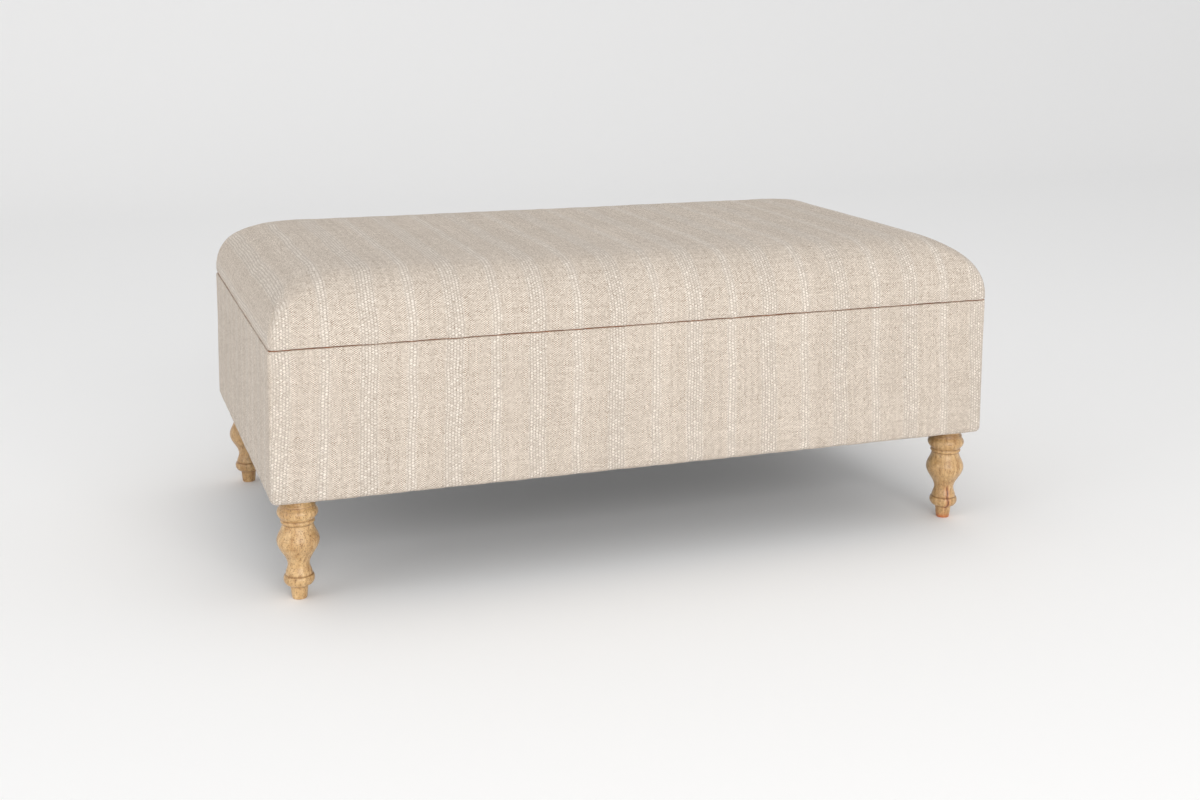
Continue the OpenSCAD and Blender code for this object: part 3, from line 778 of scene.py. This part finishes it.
def inflate(piece, pinned_below, cap):
    """Cloth simulation of taut cover cloth pushed out by its filling, kept within cap."""
    start = coordinates(piece.data)
    group = piece.vertex_groups.new(name="held")
    held = smoothstep(-start[:, 2], -pinned_below - 12 * MM, -pinned_below)
    for index, weight in enumerate(held):
        if weight > 0:
            group.add([index], float(weight), "REPLACE")
    cloth = piece.modifiers.new("cloth", "CLOTH")
    settings = {
        "quality": 6, "mass": 0.35, "tension_stiffness": 18, "compression_stiffness": 18,
        "shear_stiffness": 8, "bending_stiffness": 2.5, "use_pressure": True,
        "uniform_pressure_force": 4.0, "vertex_group_mass": "held",
    }
    for key, value in settings.items():
        setattr(cloth.settings, key, value)
    cloth.settings.effector_weights.gravity = 0
    cloth.collision_settings.use_collision = False
    cloth.point_cache.frame_start, cloth.point_cache.frame_end = 1, SIM_FRAMES
    scene = bpy.context.scene
    for number in range(1, SIM_FRAMES + 1):
        scene.frame_set(number)
    evaluated = piece.evaluated_get(bpy.context.evaluated_depsgraph_get())
    moved = coordinates(evaluated.data) - start
    piece.modifiers.clear()
    piece.vertex_groups.clear()
    scene.frame_set(1)
    outward = point_normals(piece.data)
    rise = np.clip((moved * outward).sum(axis=1), 0, None)
    rise = evened(piece.data, cap * np.tanh(rise / cap), 30)
    set_coordinates(piece.data, start + outward * rise[:, None])


# ---- the lid ----


def lid_corner_radius(inset):
    """Tight at the seam, and softer the higher the cloth climbs over the foam."""
    return CORNER_R + 46 * MM * smoothstep(inset, 0.0, LID_EDGE_R) ** 0.8


def lid_profiles():
    """(inset, z) at the front and at the back, from the edge of the flat top to the hem."""
    made = []
    top = LID_TOP_Z - LID_DROP
    for foot_r, sag in ((LID_FOOT_R, LID_SAG), (BACK_EDGE_R, 0.0)):
        side = arc((LID_EDGE_R, top - LID_EDGE_R), LID_EDGE_R, 90, 180, 18)
        foot_top = LID_FOOT_Z - sag + foot_r
        side += straight(side[-1], (0.0, foot_top), 1)
        side += arc((foot_r, foot_top), foot_r, 180, 270, 4, skip_first=True)
        side += straight(side[-1], (9 * MM, LID_FOOT_Z), 1)
        side += straight(side[-1], (HEM_W, LID_FOOT_Z + 0.2 * MM), 4)
        made.append(side)
    return made


def lid_uv(points, faces, kinds, first, run, n):
    """Cloth coordinates of each face corner: straight over the top and down every side."""
    on_first = {index: i for i, index in enumerate(grid_border(n, 0))}
    patch_points = (n.front + 1) * (n.end + 1)
    outward = ((0, -1), (1, 0), (0, 1), (-1, 0))
    uv = []
    for face, kind in zip(faces, kinds):
        for index in face:
            x, y = points[index][:2]
            if kind == PATCH:
                uv.append((x, y))
                continue
            if index < patch_points:
                around, down = on_first[index], 0.0
            else:
                ring, around = divmod(index - patch_points, n.round)
                down = run[1 + ring]
            to_x, to_y = outward[kind]
            edge = first[around]
            uv.append((edge[0] + to_x * down, y) if to_x else (x, edge[1] + to_y * down))
    return uv


def make_lid_cover():
    """The lid's cloth: swept, blown up by its filling, waved along the seam, then striped."""
    n = Counts(126, 60, 10)
    plan = Plan(LID_HALF_X, LID_Y0, LID_Y1, n)
    front, back = lid_profiles()
    rings = []
    for a, b in zip(front, back):
        soft = lid_corner_radius(a[0]) if a[1] > LID_FOOT_Z + LID_FOOT_R + 1 * MM else CORNER_R
        if a[1] < LID_FOOT_Z + 1 * MM:
            soft = max(CORNER_R - a[0] * 0.7, 1.5 * MM)
        rings.append(plan.ring(a, b, soft))
    points, faces, kinds = loft(rings, n, top_patch=True)
    run = run_length(front)
    uv = lid_uv(points, faces, kinds, rings[0], run, n)
    cover = new_piece("lid_cover_cloth", points, faces, "cover_fabric", "lid", ["lid_cover"], uv)
    inflate(cover, LID_FOOT_Z + 4 * MM, COVER_RISE)

    points = coordinates(cover.data)
    inset = np.minimum(LID_HALF_X - np.abs(points[:, 0]), points[:, 1] - LID_Y0)
    edge = 1 - smoothstep(points[:, 2], LID_FOOT_Z, LID_FOOT_Z + 12 * MM)
    edge *= 1 - smoothstep(inset, 8 * MM, 20 * MM)
    edge *= 1 - smoothstep(points[:, 1], LID_Y1 - 60 * MM, LID_Y1 - 25 * MM)
    points[:, 2] += SEAM_WAVE * seam_wave(points) * edge
    set_coordinates(cover.data, points)
    subdivided(cover)
    raise_stripes(cover.data, 0.9 * MM, 3.1)


def make_lid_pad():
    """The foam pad and the wadding over it, both inside the cover."""
    n = Counts(60, 30, 8)
    for name, slot, node, inset, low, fill in (
        ("lid_pad", "foam", "lid_foam", 5.2 * MM, BOARD_TOP_Z + 0.2 * MM, 0.95),
        ("lid_pad_wadding", "wadding", "lid_wadding", 2.6 * MM, BOARD_TOP_Z - 3 * MM, 0.7),
    ):
        plan = Plan(LID_HALF_X - inset, LID_Y0 + inset, LID_Y1 - inset, n)
        radius, top = LID_EDGE_R - inset, LID_TOP_Z - LID_DROP - inset
        side = arc((radius, top - radius), radius, 90, 180, 10)
        side = [p for p in side if p[1] > low + 2 * MM] + [(0.6 * MM, low + 1 * MM), (2 * MM, low)]
        rings = [plan.ring(p, p, lid_corner_radius(p[0]) - inset) for p in side]
        if slot == "wadding":  # turns under the foam's edge and goes back up inside itself
            rings.append(plan.ring((3.4 * MM, low), (3.4 * MM, low), CORNER_R - inset))
            for x, z in side[::-1][2:]:
                inner = (x + 2.4 * MM, z - 1.2 * MM)
                rings.append(plan.ring(inner, inner, lid_corner_radius(x) - inset))
        points, faces, _ = loft(rings, n, top_patch=True)
        points, faces = closed(points, faces, rings[-1], n, flip=True)
        piece = new_piece(name, points, faces, slot, "lid", [node])
        drop_loose(piece)


def drop_loose(piece):
    """Removes points that no face uses and makes the faces point outwards."""
    work = bmesh.new()
    work.from_mesh(piece.data)
    bmesh.ops.delete(work, geom=[v for v in work.verts if not v.link_faces], context="VERTS")
    bmesh.ops.recalc_face_normals(work, faces=work.faces)
    work.to_mesh(piece.data)
    work.free()


def make_lid_lining():
    """Cloth over the lid's underside, its edges folded in; returns where they are."""
    lap, fold, hem = 6 * MM, 0.8 * MM, 8 * MM
    n = Counts(90, 46, 4)
    half_x = LID_LINING_HIGH.x + lap
    y0, y1 = LID_LINING_LOW.y - lap, LID_LINING_HIGH.y + lap
    plan = Plan(half_x, y0, y1, n)
    face_z = LID_FOOT_Z - 0.9 * MM
    profile = [
        (7 * MM, face_z + 0.1 * MM), (2 * MM, face_z), (0.4 * MM, face_z + fold * 0.35),
        (0.0, face_z + fold * 0.7), (0.5 * MM, face_z + fold), (hem, face_z + fold),
    ]
    rings = [plan.ring(p, p, 2 * MM) for p in profile]
    rings[0][:, 2] += 0.5 * MM
    points, faces, _ = loft(rings, n, top_patch=True)
    faces = [face[::-1] for face in faces]
    name = "lid_underside_lining"
    lining = new_piece(name, points, faces, "lining_fabric", "lid", ["lid_lining"])
    co = coordinates(lining.data)
    for p in co:
        if abs(p[0]) < half_x - hem and y0 + hem < p[1] < y1 - hem:
            p[2] += noise.noise(Vector(p) * 9.0) * 0.35 * MM
    set_coordinates(lining.data, co)
    return half_x, y0, y1, face_z


# ---- the box ----


def box_plan(long, short, corner):
    n = Counts(long, short, corner)
    return n, Plan(BOX_HIGH.x, BOX_LOW.y, BOX_HIGH.y, n)


def box_profile(rim_r, lip):
    """(inset, z) from the turned-in edge over the rim and down to the hem underneath."""
    inner = BOX_HIGH.x - LINING_HIGH.x + 0.6 * MM
    turn_r = 2 * MM
    points = [(inner, LINING_HIGH.z)]
    points += straight(points[-1], (inner, BOX_TOP_Z - turn_r), 7)
    points += arc((inner - turn_r, BOX_TOP_Z - turn_r), turn_r, 0, 90, 3, skip_first=True)
    points += straight(points[-1], (rim_r + FLARE + 0.8 * MM, BOX_TOP_Z), 3)
    points += straight(points[-1], (rim_r + FLARE, BOX_TOP_Z + lip), 1)
    points += arc((rim_r + FLARE, BOX_TOP_Z + lip - rim_r), rim_r, 90, 180, 4, skip_first=True)
    foot_top = BOX_FOOT_Z + BOX_FOOT_R
    wall = straight(points[-1], (0.0, foot_top), 48)
    top_z, height = points[-1][1], points[-1][1] - foot_top
    points += [(FLARE * (1 - smoothstep(top_z - z, 0.25 * height, height)), z) for _, z in wall]
    points += arc((BOX_FOOT_R, foot_top), BOX_FOOT_R, 180, 270, 6, skip_first=True)
    points += straight(points[-1], (HEM_W, BOX_FOOT_Z), 6)
    return points


def spread(point):
    """The cloth was pulled a little wider at the foot of the box than at its rim."""
    return 1 - 0.018 * float(smoothstep(BOX_TOP_Z - point[2], 0.0, BOX_TOP_Z - BOX_FOOT_Z))


def around_uv(points, faces, run, n, reference):
    """Cloth coordinates that run round the box from the middle of its front, and down."""
    loop = np.vstack([reference, reference[:1]])
    steps = np.linalg.norm(np.diff(loop, axis=0), axis=1)
    along = np.concatenate([[0.0], np.cumsum(steps)])
    total = along[-1]
    middle = n.front // 2
    start = along[middle] - reference[middle][0]
    along = (along[:-1] - start + total / 2) % total - total / 2
    uv = []
    for face in faces:
        us = [along[index % n.round] for index in face]
        if max(us) - min(us) > total / 2:
            us = [u + total if u < 0 else u for u in us]
        uv += [(u * spread(points[index]), -run[index // n.round]) for u, index in zip(us, face)]
    return uv, total


def make_box_cover():
    n, plan = box_plan(256, 138, 8)
    front, back = box_profile(BOX_RIM_R, RIM_LIP), box_profile(BACK_EDGE_R, 0.0)
    rings = [plan.ring(a, b, max(CORNER_R - a[0], 2 * MM)) for a, b in zip(front, back)]
    points, faces, _ = loft(rings, n)
    faces = [face[::-1] for face in faces]
    run = run_length(front)
    uv, total = around_uv(points, faces, run, n, plan.level(0.0, CORNER_R))
    cover = new_piece("box_cover_cloth", points, faces, "cover_fabric", "box", ["box_cover"], uv)
    raise_stripes(cover.data, 0.5 * MM, 8.7)
    total + 30 * MM


def make_box_wadding():
    """A thin band of wadding between the boards and the cover."""
    n, plan = box_plan(100, 50, 6)
    low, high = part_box("box_wadding")
    bottom, top = low.z + 2 * MM, high.z - 2 * MM
    profile = [(4.4 * MM, high.z)] + [(2.6 * MM, z) for z in np.linspace(top, bottom, 16)]
    profile += [(4.4 * MM, low.z)] + [(4.85 * MM, z) for z in np.linspace(bottom, top, 16)]
    points, faces, _ = loft([plan.ring(p, p, 5 * MM) for p in profile], n)
    last = len(points) - n.round
    faces += [(last + i, i, (i + 1) % n.round, last + (i + 1) % n.round) for i in range(n.round)]
    band = new_piece("box_wadding_band", points, faces, "wadding", "box", ["box_wadding"])
    drop_loose(band)


def make_box_lining():
    """Cloth over the inside walls and floor, its top edge folded over and tacked on the cover."""
    n, plan = box_plan(110, 60, 6)
    wall = BOX_HIGH.x - LINING_HIGH.x + 0.5 * MM
    floor_z = LINING_LOW.z + 0.6 * MM
    top = LINING_HIGH.z + 6 * MM
    lip, fold, foot_r = wall + 0.9 * MM, 9 * MM, 6 * MM
    profile = [(lip - 0.4 * MM, top - fold), (lip - 0.4 * MM, top - 0.6 * MM), (lip, top)]
    profile += [(lip + 0.5 * MM, top - 0.6 * MM), (lip + 0.5 * MM, top - 7 * MM)]
    profile += straight(profile[-1], (wall, top - 22 * MM), 3)
    profile += straight(profile[-1], (wall, floor_z + foot_r), 18)
    profile += arc((wall + foot_r, floor_z + foot_r), foot_r, 180, 270, 3, skip_first=True)
    rings = [plan.ring(p, p, 5 * MM) for p in profile]
    points, faces, _ = loft(rings, n)
    points, faces = closed(points, faces, rings[-1], n)
    lining = new_piece("storage_lining", points, faces, "lining_fabric", "box", ["box_lining"])
    drop_loose(lining)
    co = coordinates(lining.data)
    inward = np.zeros(co.shape)
    for i, (x, y, z) in enumerate(co):
        wave = max(0.0, noise.noise(Vector((x, y, z)) * 8.0) + 0.15)
        clear = smoothstep(abs(x), 0.5, 0.515)  # the end walls stay flat beside the struts
        if z < floor_z + 1 * MM:
            inward[i, 2] = wave * 0.9 * MM
        if floor_z + 12 * MM < z < top - 12 * MM:
            inward[i, 1] = -math.copysign(wave * 1.1 * MM, y) * (1 - clear)
    set_coordinates(lining.data, co + inward)
    height = top - floor_z + fold
    across = 2 * (BOX_HIGH.x - wall) + 2 * height
    along = BOX_HIGH.y - BOX_LOW.y - 2 * wall + 2 * height
    across * along - 4 * height * height


def clear_of_legs(place, distance):
    return all(math.dist(place, axis) > distance for axis in LEG_AXES.values())


def make_dust_cover():
    """Black cloth under the box with a hole round each leg; returns where its edges are."""
    half_x, y0, y1 = DUST_HIGH.x, DUST_LOW.y, DUST_HIGH.y
    face_z = DUST_LOW.z + 0.2 * MM
    ends = [(-half_x, y0), (half_x, y0), (half_x, y1), (-half_x, y1), (-half_x, y0)]
    border = []
    for start, end, steps in zip(ends, ends[1:], (72, 40, 72, 40)):
        border += [between(start, end, i / steps) for i in range(steps)]
    loops = [border]
    for cx, cy in LEG_AXES.values():
        turns = np.linspace(0, -math.tau, 40, endpoint=False)
        loops.append(
            [(cx + LEG_HOLE_R * math.cos(a), cy + LEG_HOLE_R * math.sin(a)) for a in turns]
        )
    verts, edges = [], []
    for loop in loops:
        first = len(verts)
        verts += [Vector(p) for p in loop]
        edges += [(first + i, first + (i + 1) % len(loop)) for i in range(len(loop))]
    inner = random.Random(5)
    cols, rows = 60, 34
    for i in range(1, cols):
        for j in range(1, rows):
            x = -half_x + 2 * half_x * (i + inner.uniform(-0.2, 0.2)) / cols
            y = y0 + (y1 - y0) * (j + inner.uniform(-0.2, 0.2)) / rows
            if clear_of_legs((x, y), 30 * MM):
                verts.append(Vector((x, y)))
    flat, _, faces, _, _, _ = delaunay_2d_cdt(verts, edges, [], 1, 1e-6)
    kept = []
    for face in faces:
        middle = sum((flat[i] for i in face), Vector((0, 0))) / len(face)
        if clear_of_legs(middle, LEG_HOLE_R * 0.98):
            kept.append(face)
    points = []
    for p in flat:
        edge = min(half_x - abs(p.x), p.y - y0, y1 - p.y)
        hang = smoothstep(edge, 12 * MM, 160 * MM) * 2.2 * MM
        ripple = noise.noise(Vector((p.x * 10, p.y * 10, 0.3))) * 0.5 * MM
        points.append((p.x, p.y, face_z - hang + ripple * smoothstep(edge, 0, 30 * MM)))
    cloth = new_piece("dust_cover_cloth", points, kept, "dust_fabric", "box", ["dust_cover"])
    drop_loose(cloth)
    return half_x, y0, y1, face_z


# ---- staples ----


def staple(work, at, along):
    """One flat-wire staple: its crown hangs below the cloth by the wire's thickness."""
    out = Vector((0, 0, -1))
    side = along.cross(out)
    crown, wire = 10 * MM, 0.9 * MM  # width and thickness
    section = [(-0.5, 0.0), (-0.5, 0.4), (-0.25, 0.6), (0.25, 0.6), (0.5, 0.4), (0.5, 0.0)]
    half = [(-0.5, -1.2), (-0.5, 0.0), (-0.46, 0.45), (-0.38, 0.62)]
    rings = []
    for place, height in half + [(-place, height) for place, height in half[::-1]]:
        centre = at + along * crown * place + out * wire * (height - 0.3)
        rings.append(
            [work.verts.new(centre + side * wire * a + out * wire * b * 0.7) for a, b in section]
        )
    count = len(section)
    for one, two in zip(rings, rings[1:]):
        for i in range(count):
            j = (i + 1) % count
            work.faces.new((one[i], one[j], two[j], two[i]))
    work.faces.new(rings[0][::-1])
    work.faces.new(rings[-1])


def spaced(start, end, pitch):
    count = max(1, round((end - start) / pitch))
    return [start + (end - start) * (i + 0.5) / count for i in range(count)]


def edge_rows(half_x, y0, y1, z, pitch):
    """(point, along) of the staples just inside the four edges of a cloth."""
    inset = 5 * MM
    sides, ends = (y0 + inset, y1 - inset), (-half_x + inset, half_x - inset)
    rows = [((x, y, z), (1, 0.5, 0)) for x in spaced(-half_x, half_x, pitch) for y in sides]
    rows += [((x, y, z), (0.5, 1, 0)) for y in spaced(y0, y1, pitch) for x in ends]
    return rows


def staple_rows(name, body, rows, seed):
    work = bmesh.new()
    chance = random.Random(seed)
    for point, along in rows:
        turn = Matrix.Rotation(chance.uniform(-0.18, 0.18), 3, Vector((0, 0, -1)))
        shift = Vector((chance.uniform(-1, 1), chance.uniform(-1, 1), 0)) * MM
        staple(work, Vector(point) + shift, (turn @ Vector(along)).normalized())
    mesh = bpy.data.meshes.new(name)
    bmesh.ops.recalc_face_normals(work, faces=work.faces)
    work.to_mesh(mesh)
    work.free()
    carried(mesh, "clip_steel", body)


# ---- the legs ----


def arched(z0, r0, z1, r1, n=8):
    """Quarter round that starts along the axis and turns in."""
    turns = [math.pi / 2 * i / n for i in range(n)]
    return [(r1 + (r0 - r1) * math.cos(a), z0 + (z1 - z0) * math.sin(a)) for a in turns]


def cupped(z0, r0, z1, r1, n=10):
    """Quarter round that starts straight out and turns up along the axis."""
    turns = [math.pi / 2 * i / n for i in range(n)]
    return [(r0 + (r1 - r0) * math.sin(a), z0 + (z1 - z0) * (1 - math.cos(a))) for a in turns]


def eased(z0, r0, z1, r1, n=20):
    """Eases from one radius to another."""
    shares = [(i / n, (1 - math.cos(math.pi * i / n)) / 2) for i in range(n)]
    return [(r0 + (r1 - r0) * e, z0 + (z1 - z0) * t) for t, e in shares]


def bead(z0, z1, r, r_mid, n=14):
    """Swells from r to r_mid and back."""
    return [(r + (r_mid - r) * math.sin(math.pi * i / n), z0 + (z1 - z0) * i / n) for i in range(n)]


def leg_outline():
    """(radius, height) in millimetres from the floor up, as in the design."""
    points = [(5, 0), (9.0, 0), (9.7, 0.25), (10.1, 0.9), (10.4, 2.0), (11.2, 8.0), (12.0, 16.0)]
    points += [(12.2, 18.6), (12.3, 19.2)]
    points += cupped(19.4, 12.9, 29, 21.2)
    points += arched(29, 21.2, 34.5, 18.9)
    points += [(18.7, 34.7), (18.1, 35.0)]
    points += eased(35.4, 18.4, 49.5, 15)
    points += eased(49.5, 15, 84, 29, 34)
    points += eased(84, 29, 108, 21.2, 26)
    points += [(21.0, 107.9)]
    points += bead(108, 114, 21.6, 23.4, 10)
    points += [(22.3, 114.0)]
    points += bead(114.3, 134, 22.6, 28, 22)
    points += [(24.6, 134.0)]
    points += eased(134.2, 24.6, 140, 22.2, 8)
    points += [(22.2, 140.3), (23.2, 140.9), (23.5, 141.5), (23.5, 146.0)]
    return points


LEG_CREASES = (19.2, 35.0, 107.9, 114.1, 134.1)  # heights in millimetres of the grooves, darkened with painted shade


def make_leg(node, turn, fine_rings, crack_turn, brown, seed):
    """A turned leg whose grain, fine rings and small faults are its own.

    Angles are in radians. With a crack_turn it has a crack there and a reddish foot.
    """
    segments = 72
    rows = []
    for r, z in leg_outline():
        for height in fine_rings:
            r -= 0.8 * math.exp(-(((z - height) / 0.5) ** 2))
        rows.append((r, z))
    points, marks = [], {"crack": [], "groove_shade": [], "red": [], "tone": []}
    offset = Vector((seed * 1.7, seed * 0.3, seed))
    for r, z in rows:
        # share of painted shade, darkest in the grooves and fine rings
        dark = sum(math.exp(-(((z - height) / 0.9) ** 2)) for height in LEG_CREASES + fine_rings)
        for i in range(segments):
            a = math.tau * i / segments
            p = Vector((math.cos(a) * r, math.sin(a) * r, z))
            uneven = noise.noise(p * 0.05 + offset) * 0.22
            depth, tint = 0.0, 0.0
            if crack_turn is not None:
                bent = a + 0.03 * math.sin(z * 0.4)
                away = abs((bent - crack_turn + math.pi) % math.tau - math.pi) * r
                along = float(smoothstep(z, 15, 18) * (1 - smoothstep(z, 46, 60)))
                depth = math.exp(-((away / 1.1) ** 2)) * along
                tint = math.exp(-((away / 3.5) ** 2)) * along * 0.6
                tint = max(tint, (1 - smoothstep(z, 1, 11)) * (0.5 + noise.noise(p * 0.15)))
            out = (r + uneven - depth * 0.8) / r
            points.append((p.x * out * MM, p.y * out * MM, z * MM))
            # the leg's own stain and age tone, plus painted shade darkening its top under the box
            stain_and_top_shade = noise.noise(p * 0.04 - offset) * 0.25
            stain_and_top_shade += brown + 0.12 * smoothstep(z, 112, 140)
            shares = (depth, min(dark, 1.0) * 0.55, tint, stain_and_top_shade)
            for values, share in zip(marks.values(), shares):
                values.append(np.clip(share, 0, 1))
    last = (len(rows) - 1) * segments
    faces = []
    for base in range(0, last, segments):
        for i in range(segments):
            a, b = base + i, base + (i + 1) % segments
            faces.append((a, b, b + segments, a + segments))
    faces.append(range(segments)[::-1])
    faces.append(range(last, last + segments))
    mesh = new_mesh(node + "_turned", points, faces)
    for name, values in marks.items():
        mesh.attributes.new(name, "FLOAT", "POINT").data.foreach_set("value", values)
    carried(mesh, "leg_wood", "box", [node], (*LEG_AXES[node], 0), turn)


# ---- stage ----


def make_stage():
    floor_size, wall_back, wall_top, bend = 30.0, 5.0, 6.0, 1.5
    profile = [(-floor_size, 0.0), (wall_back - bend, 0.0)]
    profile += [
        (wall_back - bend + bend * math.sin(a), bend * (1 - math.cos(a)))
        for a in np.linspace(0.1, math.pi / 2, 14)
    ]
    profile.append((wall_back, wall_top))
    points = [(x, y, z) for y, z in profile for x in (-floor_size, floor_size)]
    faces = [(2 * i, 2 * i + 1, 2 * i + 3, 2 * i + 2) for i in range(len(profile) - 1)]
    mesh = new_mesh("studio_floor", points, faces)
    paper = Graph("studio_paper")
    mesh.materials.append(
        paper.finish(Base_Color=srgb(250, 250, 250), Roughness=0.9, Specular_IOR_Level=0.1)
    )
    add("studio_floor", mesh)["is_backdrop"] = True


def area_light(name, place, size, power, tint=(1, 1, 1)):
    """A rectangle of light that faces the middle of the object."""
    data = bpy.data.lights.new(name, "AREA")
    data.shape = "RECTANGLE"
    data.size, data.size_y = size
    data.energy, data.color = power, tint
    light = add(name, data, place)
    light.rotation_mode = "QUATERNION"
    light.rotation_quaternion = (Vector((0, 0, 0.3)) - light.location).to_track_quat("-Z", "Y")


def make_lights():
    area_light("key_front", (-0.2, -4.3, 1.6), (3.2, 2.4), 89, (1.0, 0.985, 0.965))
    area_light("fill_left", (-4.2, -1.4, 1.5), (2.6, 2.2), 24)
    area_light("soft_top", (0.2, 0.4, 3.8), (3.6, 2.6), 7)
    world = bpy.data.worlds.new("studio")
    world.use_nodes = True
    back = world.node_tree.nodes["Background"]
    back.inputs["Color"].default_value = (1.0, 1.0, 1.0, 1.0)
    back.inputs["Strength"].default_value = 0.7
    bpy.context.scene.world = world
    bpy.context.scene.view_settings.view_transform = "Standard"


def make_camera():
    """Level with the photographer's eye, to the left of the middle and looking slightly down."""
    yaw, pitch, roll = 0.3482, -0.1738, 0.0056
    data = bpy.data.cameras.new("camera")
    data.sensor_width = 36.0
    data.lens = 1.28425 * data.sensor_width
    data.shift_y = -0.116667  # part of the shift of a lens that keeps verticals upright
    data.clip_end = 60
    camera = add("camera", data, (-0.8091, -2.2975, 0.8249))
    level = math.cos(pitch)
    look = Vector((math.sin(yaw) * level, math.cos(yaw) * level, math.sin(pitch)))
    camera.rotation_mode = "QUATERNION"
    upright = look.to_track_quat("-Z", "Y")
    camera.rotation_quaternion = upright @ Matrix.Rotation(roll, 3, "Z").to_quaternion()
    bpy.context.scene.camera = camera


# ---- assembly ----

make_camera()
dress_frame()
make_lid_cover()
make_lid_pad()
lid_edges = make_lid_lining()
make_box_cover()
make_box_wadding()
make_box_lining()
dust_edges = make_dust_cover()
staple_rows("lid_staples", "lid", edge_rows(*lid_edges, 42 * MM), 11)
staple_rows("dust_cover_staples", "box", edge_rows(*dust_edges, 50 * MM), 12)
FRONT_RIGHT_TURN = 2.2
CRACK_TURN = math.radians(-101) - FRONT_RIGHT_TURN  # nearly straight at the front
make_leg("leg_front_left", 0.4, (), None, 0.0, 1)
make_leg("leg_front_right", FRONT_RIGHT_TURN, (136.4, 138.8), CRACK_TURN, 0.16, 2)
make_leg("leg_back_left", 4.0, (), None, 0.34, 3)
make_leg("leg_back_right", 5.2, (), None, 0.12, 4)
make_stage()
make_lights()

low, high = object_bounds()
